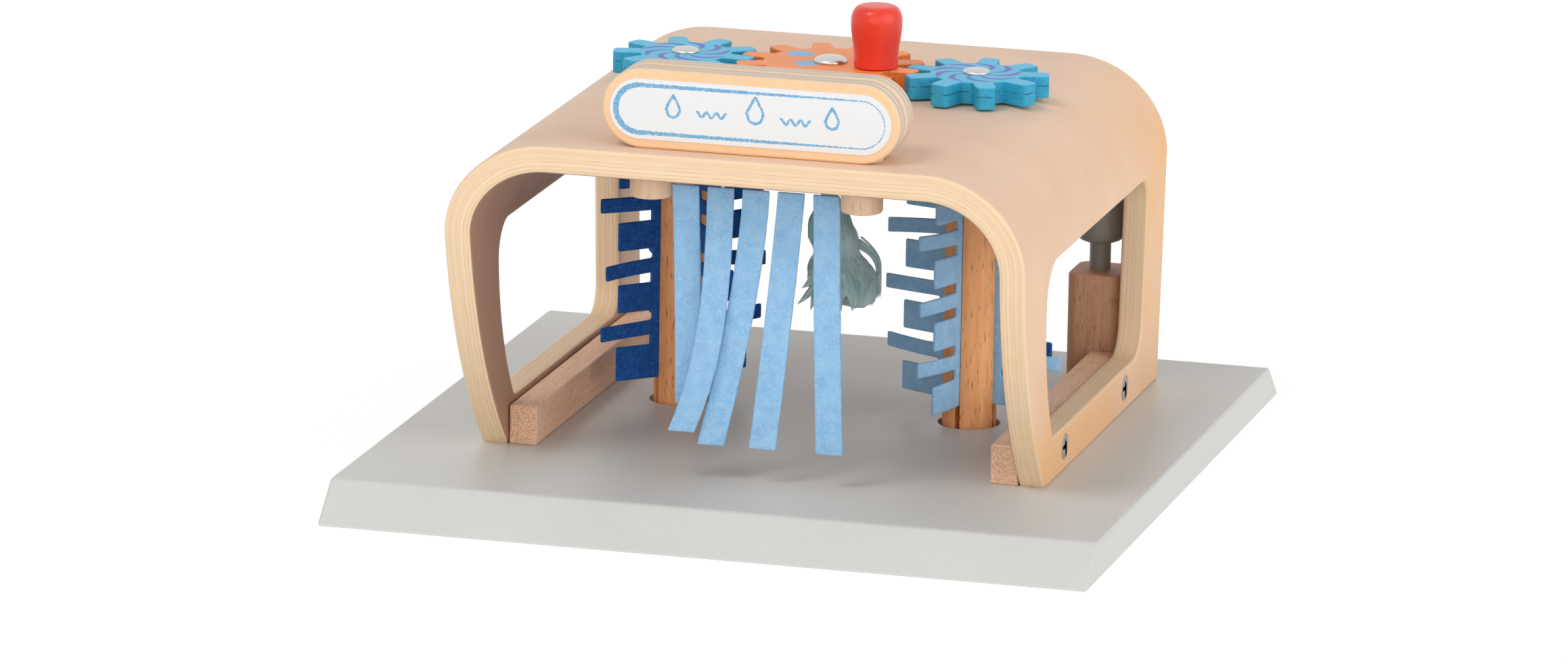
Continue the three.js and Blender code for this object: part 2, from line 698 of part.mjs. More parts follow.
const rollerBottom = fitGap - rollerSocketDepth;
const kerfTop = flagTop + kerfHeadroom;
const kerf = (angle) => {
  const [from, to] = [rollerCoreDiameter / 2, rollerDiameter / 2 + cutOverrun];
  const width = feltThickness + 2 * fitGap;
  const slot = block(to - from, width, rollerBottom - cutOverrun, kerfTop);
  return slot.translate((from + to) / 2, 0, 0).rotateZ(angle);
};
const rollerSides = [
  ['left', -rollerX, leftFlagAngle, [darkFelt, darkFelt, darkFelt, darkFelt]],
  ['right', rollerX, rightFlagAngle, [paleFelt, paleFelt, darkFelt, paleFelt]],
];
for (const [side, x, firstAngle, felts] of rollerSides) {
  const place = new THREE.Group();
  place.position.set(x, gearRowY, 0);
  deck.add(place);
  const angles = felts.map((felt, i) => firstAngle + 2 * Math.PI * i / kerfsPerRoller);
  const stick = turned([
    [0, rollerBottom],
    [rollerDiameter / 2, rollerBottom],
    [rollerDiameter / 2, rollerTop],
    [shaftDiameter / 2, rollerTop],
    [shaftDiameter / 2, shaftTop],
    [0, shaftTop],
  ]);
  const roller = cut(stick, [...angles.map(kerf), capHole(shaftTop)]);
  addPiece(place, `${side}_roller`, roller, rollerBeech);
  const gear = raised(gearShape(drivenTeeth, drivenPhases[side]), gearBottom, gearTop);
  addPiece(place, `${side}_gear`, cut(gear, [gearBore()]), blueWood);
  addPiece(place, `${side}_washer`, washer(), washerPlastic);
  const cap = nailCap(capDiameter, capHeight).translate(0, 0, gearTop);
  addPiece(place, `${side}_cap`, cap, nickel);
  felts.forEach((felt, i) => {
    const flag = raised(flagShape(), -feltThickness / 2, feltThickness / 2).rotateX(Math.PI / 2);
    const mesh = addPiece(place, `${side}_flag_${i + 1}`, flag, felt);
    mesh.rotation.z = angles[i];
  });
}

// Sign: two boards face to face, on pegs that go down through the roof
const sign = new THREE.Group();
sign.position.set(signOffset, signJointY, roofHeight);
deck.add(sign);
const signSockets = [-1, 1].map((side) => (
  rod(pegDiameter + 2 * fitGap, -cutOverrun, pegSeat).translate(side * pegSpacing / 2, 0, 0)
));
const signShape = roundedRectangle(signWidth, signHeight, signHeight / 2);
for (const [name, fromY] of [['sign_front_board', -signBoardThickness], ['sign_back_board', 0]]) {
  const panel = drawnAlongY(signShape, fromY, fromY + signBoardThickness, 2 * cornerSegments);
  panel.translate(0, 0, signHeight / 2);
  addPiece(sign, name, cut(panel, signSockets), plywood);
}
const labelHeight = signHeight - 2 * labelEdgeMargin;
const labelShape = roundedRectangle(signWidth - 2 * labelSideMargin, labelHeight, labelHeight / 2);
const label = drawnAlongY(labelShape, -labelThickness, 0, 2 * cornerSegments);
label.translate(0, -signBoardThickness, signHeight / 2);
addPiece(sign, 'sign_label', label, labelCard);
for (const [name, x] of [['sign_peg_left', pegXs[0]], ['sign_peg_right', pegXs[1]]]) {
  const peg = rod(pegDiameter, roofUnderside - pegHang, roofHeight + pegSeat - fitGap);
  addPiece(deck, name, peg, dowelWood).position.set(x, signJointY, 0);
}

// Curtain: felt strips under a header that is fixed to a batten, between the pegs
const curtain = new THREE.Group();
curtain.position.set(signOffset, signJointY, hingeHeight);
deck.add(curtain);
const header = block(curtainWidth, feltThickness, hingeGap, hingeDrop);
addPiece(curtain, 'curtain_header', header, paleFelt);
const batten = block(curtainWidth, battenDepth, roofUnderside - battenHeight, roofUnderside);
batten.translate(signOffset, battenY, 0);
addPiece(deck, 'curtain_batten', cut(batten, battenScrewHoles), dowelWood);

function stripRings(length, lean, curve, bow) {
  const rings = [];
  for (let i = 0; i <= stripSteps; i += 1) {
    const share = i / stripSteps;
    const middleX = lean * share ** curve;
    const middleY = -bow * Math.sin(Math.PI * share);
    const [halfWidth, halfThickness] = [stripWidth / 2, feltThickness / 2];
    rings.unshift([[1, -1], [1, 1], [-1, 1], [-1, -1]].map(([sideX, sideY]) => new THREE.Vector3(
      middleX + sideX * halfWidth,
      middleY + sideY * halfThickness,
      -length * share,
    )));
  }
  return rings;
}
const stripPitch = (curtainWidth - stripWidth) / (stripCount - 1);
for (let i = 0; i < stripCount; i += 1) {
  const length = stripLength * stripLengthShares[i];
  const lean = stripLeanShares[i] * length;
  const rings = stripRings(length, lean, stripCurveShares[i], stripBow * stripBowShares[i]);
  const strip = addPiece(curtain, `curtain_strip_${i + 1}`, lofted(rings), paleFelt);
  strip.position.x = stripPitch * (i - (stripCount - 1) / 2);
  strip.rotation.x = stripTilts[i];
}

export default carWash;
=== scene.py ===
# A wooden toy car wash: a grey board with a bent plywood arch on it, felt strips in the entrance,
# two felt brush rollers and a yarn mop inside, and the gears that turn them on the roof.
# Metres. X points right, Y back along the lane and Z up, and the board's underside is at Z 0.
import math

import bmesh
import bpy
from mathutils import Matrix, Vector


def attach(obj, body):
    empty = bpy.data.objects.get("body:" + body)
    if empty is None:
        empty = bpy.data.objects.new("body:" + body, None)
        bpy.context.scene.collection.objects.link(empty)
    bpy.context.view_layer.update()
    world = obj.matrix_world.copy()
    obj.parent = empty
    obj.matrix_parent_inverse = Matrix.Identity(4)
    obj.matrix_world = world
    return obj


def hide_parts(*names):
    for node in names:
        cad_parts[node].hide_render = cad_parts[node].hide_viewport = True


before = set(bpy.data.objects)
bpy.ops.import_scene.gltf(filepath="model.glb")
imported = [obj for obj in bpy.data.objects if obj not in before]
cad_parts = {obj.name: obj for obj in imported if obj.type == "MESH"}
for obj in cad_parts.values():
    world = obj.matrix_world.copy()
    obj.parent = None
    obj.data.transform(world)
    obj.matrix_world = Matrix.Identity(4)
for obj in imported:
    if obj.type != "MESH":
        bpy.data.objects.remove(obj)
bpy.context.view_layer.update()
scene = bpy.context.scene
scene.view_settings.view_transform = "Standard"

# Camera: a long lens, almost four metres away, a little right of the lane's axis and looking
# slightly down. The frame leans by one degree.
camera_azimuth = math.radians(15.057)
camera_elevation = math.radians(13.524)
camera_roll = math.radians(0.992)
camera_distance = 3.9586
camera_target = Vector((0.00412, -0.05895, 0.06437))
camera_sensor = 36
camera_lens = 237.55
camera_reach = 30
camera_data = bpy.data.cameras.new("camera")
camera_data.sensor_width = camera_sensor
camera_data.lens = camera_lens
camera_data.clip_end = camera_reach
camera = bpy.data.objects.new("camera", camera_data)
scene.collection.objects.link(camera)
scene.camera = camera
right = Vector((math.cos(camera_azimuth), math.sin(camera_azimuth), 0))
back = Vector((
    math.sin(camera_azimuth) * math.cos(camera_elevation),
    -math.cos(camera_azimuth) * math.cos(camera_elevation),
    math.sin(camera_elevation),
))
up = back.cross(right)
rolled_right = math.cos(camera_roll) * right + math.sin(camera_roll) * up
rolled_up = math.cos(camera_roll) * up - math.sin(camera_roll) * right
camera.matrix_world = (
    Matrix.Translation(camera_target + camera_distance * back)
    @ Matrix((rolled_right, rolled_up, back)).transposed().to_4x4()
)

# Studio: a pale floor and world that the camera and reflections see as white, and three soft
# lamps: a key high on the left and two wide, low ones at the right and in front. The floor keeps
# the toy's shadow.
floor_reach = 9
floor_glow = 0.80
bounce_glow = 0.62
floor_grey = 0.3
world_light = 0.56
white = (1, 1, 1, 1)
lamp_settings = {
    "key": (0.80, 22, Vector((0.35, 0.50, -0.82))),
    "side": (1.35, 60, Vector((-0.90, 0.34, -0.27))),
    "front": (0.80, 50, Vector((-0.06, 0.99, -0.10))),
}


class Amount:
    """A number that nodes work out, so that a finish's or a shape's sums read as plain sums."""

    def __init__(self, tree, socket):
        self.tree = tree
        self.socket = socket

    def __add__(self, other):
        return calc(self.tree, "ADD", self, other)

    def __sub__(self, other):
        return calc(self.tree, "SUBTRACT", self, other)

    def __rsub__(self, other):
        return calc(self.tree, "SUBTRACT", other, self)

    def __mul__(self, other):
        return calc(self.tree, "MULTIPLY", self, other)

    def __truediv__(self, other):
        return calc(self.tree, "DIVIDE", self, other)

    def __pow__(self, other):
        return calc(self.tree, "POWER", self, other)

    def __neg__(self):
        return calc(self.tree, "MULTIPLY", self, -1)

    def __abs__(self):
        return calc(self.tree, "ABSOLUTE", self)

    __radd__ = __add__
    __rmul__ = __mul__


def add_node(tree, kind, inputs=None, **settings):
    """A new node. Its inputs are linked where they are given sockets, and set where given values."""
    node = tree.nodes.new(kind)
    for name, value in settings.items():
        setattr(node, name, value)
    for key, value in (inputs or {}).items():
        if isinstance(value, Amount):
            value = value.socket
        if isinstance(value, bpy.types.NodeSocket):
            tree.links.new(value, node.inputs[key])
        else:
            node.inputs[key].default_value = value
    return node


def calc(tree, operation, *values):
    node = add_node(tree, "ShaderNodeMath", dict(enumerate(values)), operation=operation)
    return Amount(tree, node.outputs[0])


def seen_directly(tree):
    path = add_node(tree, "ShaderNodeLightPath")
    seen = calc(tree, "MAXIMUM", path.outputs["Is Camera Ray"], path.outputs["Is Glossy Ray"])
    return calc(tree, "MAXIMUM", seen, path.outputs["Is Transmission Ray"])


def plain_object(name, mesh):
    piece = bpy.data.objects.new(name, mesh)
    scene.collection.objects.link(piece)
    return piece


scene.world = bpy.data.worlds.new("studio")
scene.world.use_nodes = True
world_tree = scene.world.node_tree
world_tree.nodes.clear()
world_mix = add_node(world_tree, "ShaderNodeMixShader", {
    0: seen_directly(world_tree),
    1: add_node(world_tree, "ShaderNodeBackground", {"Strength": world_light}).outputs[0],
    2: add_node(world_tree, "ShaderNodeBackground", {"Color": white}).outputs[0],
})
add_node(world_tree, "ShaderNodeOutputWorld", {"Surface": world_mix.outputs[0]})
for lamp_name, (lamp_power, lamp_spread, lamp_direction) in lamp_settings.items():
    lamp_data = bpy.data.lights.new(lamp_name, "SUN")
    lamp_data.energy = lamp_power
    lamp_data.angle = math.radians(lamp_spread)
    lamp = bpy.data.objects.new(lamp_name, lamp_data)
    lamp.rotation_euler = lamp_direction.to_track_quat("-Z", "Y").to_euler()
    scene.collection.objects.link(lamp)

floor_mesh = bpy.data.meshes.new("floor")
floor_mesh.from_pydata(
    [(x * floor_reach, y * floor_reach, 0) for x, y in ((-1, -1), (1, -1), (1, 1), (-1, 1))],
    [],
    [(0, 1, 2, 3)],
)
floor = plain_object("floor", floor_mesh)
floor_finish = bpy.data.materials.new("pale_floor")
floor_finish.use_nodes = True
floor_tree = floor_finish.node_tree
floor_tree.nodes.clear()
matt_floor = add_node(floor_tree, "ShaderNodeBsdfDiffuse", {"Color": (*[floor_grey] * 3, 1)})
glow = add_node(floor_tree, "ShaderNodeEmission", {
    "Color": white,
    "Strength": bounce_glow + (floor_glow - bounce_glow) * seen_directly(floor_tree),
})
floor_sum = add_node(floor_tree, "ShaderNodeAddShader", {
    0: matt_floor.outputs[0],
    1: glow.outputs[0],
})
add_node(floor_tree, "ShaderNodeOutputMaterial", {"Surface": floor_sum.outputs[0]})
floor_mesh.materials.append(floor_finish)

# Board: fibreboard, sprayed with a satin light grey lacquer. Both ends are planed to a ramp, the
# edges are eased, and two blind sockets take the rollers' feet.
board_width = 0.300
board_depth = 0.325
board_thickness = 0.015
ramp_run = 0.0175
board_easing = 0.0012
roller_x = 0.05838
gear_row_y = 0.0188
roller_radius = 0.0106
socket_radius = 0.01225
socket_depth = 0.011
socket_easing = 0.0004
cut_overrun = 0.005
round_steps = 64


def tint(red, green, blue):
    """A colour as it looks on a screen, from 0 to 255, in the linear numbers that a node takes."""
    levels = [value / 255 for value in (red, green, blue)]
    return (*[x / 12.92 if x <= 0.04045 else ((x + 0.055) / 1.055) ** 2.4 for x in levels], 1)


def new_finish(name, colour, roughness, **sockets):
    material = bpy.data.materials.new(name)
    material.use_nodes = True
    shader = material.node_tree.nodes["Principled BSDF"]
    shader.inputs["Base Color"].default_value = colour
    shader.inputs["Roughness"].default_value = roughness
    for label, value in sockets.items():
        shader.inputs[label.replace("_", " ").title().replace("Ior", "IOR")].default_value = value
    return material


def object_place(tree, scale=(1, 1, 1), centre=(0, 0, 0)):
    coordinates = add_node(tree, "ShaderNodeTexCoord").outputs["Object"]
    moved = add_node(tree, "ShaderNodeVectorMath", {0: coordinates, 1: centre}, operation="SUBTRACT")
    return scaled_place(tree, moved.outputs[0], scale)


def scaled_place(tree, place, scale):
    return add_node(tree, "ShaderNodeVectorMath", {0: place, 1: scale}, operation="MULTIPLY").outputs[0]


def noise(tree, place, scale=1, detail=3, roughness=0.5):
    inputs = {"Vector": place, "Scale": scale, "Detail": detail, "Roughness": roughness}
    return Amount(tree, add_node(tree, "ShaderNodeTexNoise", inputs).outputs["Fac"])


def stretched(tree, value, low, high, to_low=0, to_high=1):
    inputs = {"Value": value, 1: low, 2: high, 3: to_low, 4: to_high}
    return Amount(tree, add_node(tree, "ShaderNodeMapRange", inputs).outputs["Result"])


def parts_of(tree, vector):
    outputs = add_node(tree, "ShaderNodeSeparateXYZ", {0: vector}).outputs
    return [Amount(tree, socket) for socket in outputs]


def vector_of(tree, x=0, y=0, z=0):
    return add_node(tree, "ShaderNodeCombineXYZ", {0: x, 1: y, 2: z}).outputs[0]


def mixed(tree, factor, first, second):
    inputs = {0: factor, 6: first, 7: second}
    return add_node(tree, "ShaderNodeMix", inputs, data_type="RGBA").outputs[2]


def dress(material, colour=None, roughness=None, height=None, depth=0.0001):
    """Puts nodes behind a finish: its colour, its roughness and a relief of the given depth."""
    tree = material.node_tree
    shader = tree.nodes["Principled BSDF"]
    if colour is not None:
        tree.links.new(colour, shader.inputs["Base Color"])
    if roughness is not None:
        tree.links.new(roughness.socket, shader.inputs["Roughness"])
    if height is not None:
        bump = add_node(tree, "ShaderNodeBump", {"Height": height, "Distance": depth, "Strength": 1})
        tree.links.new(bump.outputs[0], shader.inputs["Normal"])


def speckled_finish(name, colour, roughness, scale, relief, detail=2, pair=None, shine=None, metallic=0):
    """An even material with a fine speckle in its relief, and in its colour or shine if it has two."""
    material = new_finish(name, colour, roughness, metallic=metallic)
    tree = material.node_tree
    speckle = noise(tree, object_place(tree), scale, detail)
    blend = mixed(tree, speckle, *pair) if pair else None
    gloss = stretched(tree, speckle, 0.3, 0.7, *shine) if shine else None
    dress(material, blend, gloss, speckle, relief)
    return material


def piece_from(shape, name, recalculate=True):
    """Turns a finished bmesh into a piece of its own."""
    if recalculate:
        bmesh.ops.recalc_face_normals(shape, faces=shape.faces)
    mesh = bpy.data.meshes.new(name)
    shape.to_mesh(mesh)
    shape.free()
    return plain_object(name, mesh)


def prism(name, outline, start, end, axis):
    orders = {"X": (2, 0, 1), "Y": (0, 2, 1), "Z": (0, 1, 2)}
    shape = bmesh.new()
    rings = []
    for level in (start, end):
        points = [(first, second, level) for first, second in outline]
        rings.append([shape.verts.new([point[i] for i in orders[axis]]) for point in points])
        shape.faces.new(rings[-1])
    for i in range(len(outline)):
        near, far = rings
        shape.faces.new((near[i - 1], near[i], far[i], far[i - 1]))
    return piece_from(shape, name)


def rectangle(left, right, bottom, top):
    return [(left, bottom), (right, bottom), (right, top), (left, top)]


def circle(radius, centre=(0, 0), steps=round_steps):
    turns = [2 * math.pi * i / steps for i in range(steps)]
    return [(centre[0] + radius * math.cos(a), centre[1] + radius * math.sin(a)) for a in turns]


def made_plain(piece):
    graph = bpy.context.evaluated_depsgraph_get()
    graph.update()
    mesh = bpy.data.meshes.new_from_object(
        piece.evaluated_get(graph), preserve_all_data_layers=True, depsgraph=graph)
    old = piece.data
    piece.modifiers.clear()
    piece.data = mesh
    mesh.name = piece.name
    if old.users == 0:
        bpy.data.meshes.remove(old)
    return piece


def carved(piece, cutters):
    for cutter in cutters:
        modifier = piece.modifiers.new("cut", "BOOLEAN")
        modifier.operation = "DIFFERENCE"
        modifier.solver = "EXACT"
        modifier.object = cutter
    made_plain(piece)
    for cutter in cutters:
        bpy.data.objects.remove(cutter)
    return piece


def eased(piece, width, steps=3, least_angle=30):
    modifier = piece.modifiers.new("ease", "BEVEL")
    modifier.width = width
    modifier.segments = steps
    modifier.limit_method = "ANGLE"
    modifier.angle_limit = math.radians(least_angle)
    modifier.use_clamp_overlap = False
    return made_plain(piece)


def smoothed(piece, sharp_angle=40):
    piece.data.shade_smooth()
    piece.data.set_sharp_from_angle(angle=math.radians(sharp_angle))
    modifier = piece.modifiers.new("normals", "WEIGHTED_NORMAL")
    modifier.keep_sharp = True
    return made_plain(piece)


def fitted(piece, material, slot, body, *nodes):
    if material is not None:
        piece.data.materials.clear()
        piece.data.materials.append(material)
    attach(piece, body)
    if nodes:
        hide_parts(*nodes)
    return piece


grey_lacquer = new_finish("grey_lacquer", tint(207, 207, 204), 0.4)
grey_tree = grey_lacquer.node_tree
grey_speckle = noise(grey_tree, object_place(grey_tree), 1400, 2)
grey_clouds = noise(grey_tree, object_place(grey_tree), 14, 3)
grey_tone = stretched(grey_tree, grey_speckle + grey_clouds, 0.7, 1.3)
dress(
    grey_lacquer,
    mixed(grey_tree, grey_tone, tint(203, 203, 199), tint(211, 211, 208)),
    stretched(grey_tree, grey_clouds, 0.3, 0.7, 0.36, 0.47),
    grey_speckle,
    depth=0.00003,
)

board_section = [
    (-board_depth / 2, 0),
    (board_depth / 2, 0),
    (board_depth / 2 - ramp_run, board_thickness),
    (ramp_run - board_depth / 2, board_thickness),
]
board = prism("board", board_section, -board_width / 2, board_width / 2, "X")
eased(board, board_easing, 3, 20)
carved(board, [
    prism(
        "socket",
        circle(socket_radius, (side * roller_x, gear_row_y)),
        board_thickness - socket_depth,
        board_thickness + cut_overrun,
        "Z",
    )
    for side in (-1, 1)
])
fitted(smoothed(board), grey_lacquer, "grey_lacquer", "root", "base_plate")

# Arch: one sheet of beech plywood, pressed round a former into two walls and a roof. Its front
# edge sweeps back to the feet, each wall has a window, and all the sawn edges are sanded round.
ply_thickness = 0.0105
foot_half_width = 0.1118
shoulder_x = 0.0736
shoulder_reach = 0.040
shoulder_drop = 0.0374
roof_height = 0.1295
leg_height = roof_height - shoulder_drop
roof_front_y = -0.122
arch_back_y = 0.112
foot_front_y = -0.0725
sweep_top = 0.118
arch_easing = 0.0014
bend_steps = 22
window_front_y = -0.082
window_back_y = 0.0825
window_sill = 0.0173
window_top = 0.0885
window_setback = 0.0189
back_corner = 0.011
top_corner = 0.014
low_corner = 0.006
window_steps = {"back": 10, "top": 12, "front": 16, "low": 6}
shaft_hole_radius = 0.0045
peg_radius = 0.008
peg_hole_radius = 0.0083
sign_joint_y = -0.1024
sign_x = 0.004
peg_spacing = 0.0826
skin_share = 0.7  # how squarely a face looks out of the sheet before it counts as its skin


def arc(centre_x, centre_y, radius_x, radius_y, start, end, steps):
    turns = [start + (end - start) * i / steps for i in range(steps + 1)]
    return [(centre_x + radius_x * math.cos(a), centre_y + radius_y * math.sin(a)) for a in turns]


def half_section(inset):
    base = board_thickness
    reach, drop = shoulder_reach - inset, shoulder_drop - inset
    bend = arc(shoulder_x, base + leg_height, reach, drop, 0, math.pi / 2, bend_steps)
    return [(foot_half_width - inset, base), *bend]


def arc_radius(rise, setback):
    return (rise ** 2 + setback ** 2) / (2 * setback)


outer_section = half_section(0)
inner_section = half_section(ply_thickness)
outer_line = [(-x, z) for x, z in outer_section] + outer_section[::-1]
leg_top_z = board_thickness + leg_height
sweep_head = board_thickness + sweep_top
sweep_radius = arc_radius(sweep_top, foot_front_y - roof_front_y)
sweep_steps = 30
rim_steps = 4


def sweep_y(z):
    """Where the sheet's front edge lies at a height: upright near the roof, then drawn back."""
    drop = max(0, sweep_head - z)
    return roof_front_y + sweep_radius - math.sqrt(sweep_radius ** 2 - drop ** 2)


def rim_profile():
    """A sawn edge from skin to skin, with both its corners sanded round: inset and depth."""
    turns = [math.pi / 2 * i / rim_steps for i in range(rim_steps + 1)]
    corner = [(arch_easing * (1 - math.sin(a)), arch_easing * (1 - math.cos(a))) for a in turns]
    return corner + [(inset, ply_thickness - depth) for inset, depth in reversed(corner)]


def inward(line, first=None, last=None):
    """The mitred directions into the sheet, which lies on the left of the line."""
    count = len(line)
    normals = []
    for i in range(count):
        sides = []
        for (y0, z0), (y1, z1) in ((line[i - 1], line[i]), (line[i], line[(i + 1) % count])):
            length = math.hypot(y1 - y0, z1 - z0)
            sides.append(((z0 - z1) / length, (y1 - y0) / length))
        (a, b), (c, d) = sides
        spread = 1 + a * c + b * d
        normals.append(((a + c) / spread, (b + d) / spread))
    if first is not None:
        normals[0] = first
        normals[-1] = last
    return normals


window_base = board_thickness + window_sill
window_head = board_thickness + window_top
bend_z = window_head - top_corner
window_rise = bend_z - window_base
window_radius = arc_radius(window_rise, window_setback)
low_turn = math.asin((window_rise - low_corner) / (window_radius - low_corner))
window_sweep_y = window_front_y + window_radius
low_y = window_sweep_y - (window_radius - low_corner) * math.cos(low_turn)
front_end = math.pi + low_turn
window_outline = []
for y, z, radius, start, end, place in (
    (window_back_y - back_corner, window_base + back_corner, back_corner, -math.pi / 2, 0, "back"),
    (window_back_y - back_corner, window_head - back_corner, back_corner, 0, math.pi / 2, "back"),
    (window_front_y + top_corner, bend_z, top_corner, math.pi / 2, math.pi, "top"),
    (window_sweep_y, bend_z, window_radius, math.pi, front_end, "front"),
    (low_y, window_base + low_corner, low_corner, front_end, 1.5 * math.pi, "low"),
):
    bend = arc(y, z, radius, radius, start, end, window_steps[place])
    window_outline += bend[1:] if place in ("front", "low") else bend
window_outline.reverse()
leg_outline = [
    (sweep_y(z), z)
    for z in [leg_top_z - leg_height * i / sweep_steps for i in range(sweep_steps + 1)]
]
leg_outline += [(arch_back_y, board_thickness), (arch_back_y, leg_top_z)]

shape = bmesh.new()
rim = rim_profile()


def rim_rows(side, line, normals, closed):
    """Rows of points over a wall's sawn edge, joined into faces. Gives the rows."""
    rows = []
    for inset, depth in rim:
        row = []
        for (y, z), (toward_y, toward_z) in zip(line, normals):
            y += toward_y * inset
            z += toward_z * inset
            wall_x = foot_half_width + (wall_top_x - foot_half_width) * (z - board_thickness) / leg_height
            row.append(shape.verts.new((side * (wall_x - depth), y, z)))
        rows.append(row)
    for near, far in zip(rows, rows[1:]):
        for i in range(0 if closed else 1, len(line)):
            shape.faces.new((near[i - 1], near[i], far[i], far[i - 1]))
    return rows


wall_top_x = shoulder_x + shoulder_reach
leg_tops = {}
for side in (-1, 1):
    outer_rows = rim_rows(side, leg_outline, inward(leg_outline, (1, 0), (-1, 0)), False)
    window_rows = rim_rows(side, window_outline, inward(window_outline), True)
    leg_tops[side] = [row[0] for row in outer_rows] + [row[-1] for row in reversed(outer_rows)]
    for row in (0, -1):
        loop = outer_rows[row]
        hole = window_rows[row]
        edges = [shape.edges.get((loop[i - 1], loop[i])) for i in range(1, len(loop))]
        edges.append(shape.edges.new((loop[-1], loop[0])))
        edges += [shape.edges.get((hole[i - 1], hole[i])) for i in range(len(hole))]
        bmesh.ops.triangle_fill(shape, edges=edges, use_beauty=True)
stations = []
for side in (-1, 1):
    bend = list(zip(outer_section[1:], inner_section[1:]))
    rings = [leg_tops[side]]
    for (outer_x, outer_z), (inner_x, inner_z) in bend[1:]:
        ring = []
        for at_front, row in ((True, rim), (False, rim[::-1])):
            for inset, depth in row:
                share = depth / ply_thickness
                x = side * (outer_x + (inner_x - outer_x) * share)
                z = outer_z + (inner_z - outer_z) * share
                y = sweep_y(z) + inset if at_front else arch_back_y - inset
                ring.append(shape.verts.new((x, y, z)))
        rings.append(ring)
    stations += rings if side < 0 else rings[::-1]
for near, far in zip(stations, stations[1:]):
    for i in range(len(near)):
        shape.faces.new((near[i - 1], near[i], far[i], far[i - 1]))
arch = piece_from(shape, "arch")

# The arch's holes, for the pegs, the gears' shafts and the wall's screws
peg_places = [(sign_x + side * peg_spacing / 2, sign_joint_y) for side in (-1, 1)]
roof_holes = [(x, gear_row_y, shaft_hole_radius) for x in (-roller_x, 0, roller_x)]
roof_holes += [(x, y, peg_hole_radius) for x, y in peg_places]
roof_z = board_thickness + roof_height
side_screw_x = 0.11198
side_screw_z = board_thickness + 0.0094
side_screw_ys = (-0.0436, 0.0547)
sink_rows = ((0.0018, -0.0045), (0.0019, -0.0033), (0.0052, -0.0002), (0.0052, 0.0006))
crack_width = 0.0006
crack_depth = 0.0014
crack_start = 0.0042


def turned(name, profile, centre=(0, 0), steps=round_steps):
    """A lathe piece about an upright axis. The profile's first and last points close it."""
    shape = bmesh.new()
    rings = []
    for radius, height in profile:
        if radius == 0:
            rings.append([shape.verts.new((*centre, height))])
        else:
            rings.append([shape.verts.new((x, y, height)) for x, y in circle(radius, centre, steps)])
    for low, high in zip(rings, rings[1:]):
        for i in range(steps):
            if len(low) == 1:
                shape.faces.new((low[0], high[i], high[i - 1]))
            elif len(high) == 1:
                shape.faces.new((low[i - 1], low[i], high[0]))
            else:
                shape.faces.new((low[i - 1], low[i], high[i], high[i - 1]))
    for ring in (rings[0], rings[-1]):
        if len(ring) > 1:
            shape.faces.new(ring)
    return piece_from(shape, name)


arch_cutters = [
    prism("hole", circle(radius, (x, y)), roof_z - ply_thickness - cut_overrun, roof_z + cut_overrun, "Z")
    for x, y, radius in roof_holes
]
for side in (-1, 1):
    for y in side_screw_ys:
        sink = turned("sink", sink_rows, steps=32)
        place = Matrix.Translation((side * side_screw_x, y, side_screw_z))
        sink.data.transform(place @ Matrix.Rotation(side * math.pi / 2, 4, "Y"))
        arch_cutters.append(sink)
        edges = sorted((side * (side_screw_x - crack_depth), side * (side_screw_x + cut_overrun)))
        crack = rectangle(
            y - crack_width / 2,
            y + crack_width / 2,
            side_screw_z + crack_start,
            window_base + arch_easing / 2,
        )
        arch_cutters.append(prism("crack", crack, *edges, "X"))
carved(arch, arch_cutters)
smoothed(arch, 35)


def sheet_place(x, z):
    """How far along the bent sheet a point lies, how deep in it, and which way the skin faces."""
    best = None
    run = 0
    for (x0, z0), (x1, z1) in zip(outer_line, outer_line[1:]):
        step_x, step_z = x1 - x0, z1 - z0
        length = math.hypot(step_x, step_z)
        share = ((x - x0) * step_x + (z - z0) * step_z) / length ** 2
        share = min(max(share, 0), 1)
        gap = math.hypot(x - x0 - share * step_x, z - z0 - share * step_z)
        if best is None or gap < best[0]:
            best = (gap, run + share * length, (-step_z / length, step_x / length))
        run += length
    return best[1], best[0], best[2]


sheet_layer = arch.data.attributes.new("sheet", "FLOAT_VECTOR", "POINT")
for vertex in arch.data.vertices:
    run, depth, _ = sheet_place(vertex.co.x, vertex.co.z)
    sheet_layer.data[vertex.index].vector = (run, vertex.co.y, depth)


def from_sheet(tree):
    """The sheet's own coordinates: metres along it, across it and into it."""
    return add_node(tree, "ShaderNodeAttribute", attribute_name="sheet").outputs["Vector"]


def grained(tree, place, grain, along, across, detail, roughness=0.5):
    """Noise that is drawn out along the wood's grain."""
    scale = [along if axis else across for axis in grain]
    return noise(tree, scaled_place(tree, place, scale), 1, detail, roughness)


def veneer_finish(name, light, dark, fleck):
    """Sliced beech: long soft streaks, short dark rays and a thin satin lacquer."""
    material = new_finish(
        name, light, 0.55, coat_weight=0.05, coat_roughness=0.3, specular_ior_level=0.35)
    tree = material.node_tree
    place = from_sheet(tree)
    grain = (1, 0, 0)
    streaks = grained(tree, place, grain, 34, 900, 4, 0.6)
    clouds = grained(tree, place, grain, 16, 26, 3)
    rays = 0.4 * stretched(tree, grained(tree, place, grain, 300, 2600, 1), 0.64, 0.74)
    pores = grained(tree, place, grain, 700, 2200, 2, 0.7)
    tone = 0.2 * streaks + 0.45 * clouds + 0.45 * pores
    colour = mixed(tree, stretched(tree, tone, 0.40, 0.76), light, dark)
    colour = mixed(tree, rays, colour, fleck)
    dress(material, colour, stretched(tree, streaks, 0.3, 0.7, 0.5, 0.6), pores - rays, depth=0.00002)
    return material


def add_paint(material, mask, colour):
    """Lays one more colour over a finish where the mask is 1."""
    tree = material.node_tree
    socket = tree.nodes["Principled BSDF"].inputs["Base Color"]
    under = socket.links[0].from_socket
    tree.links.new(mixed(tree, mask, under, colour), socket)


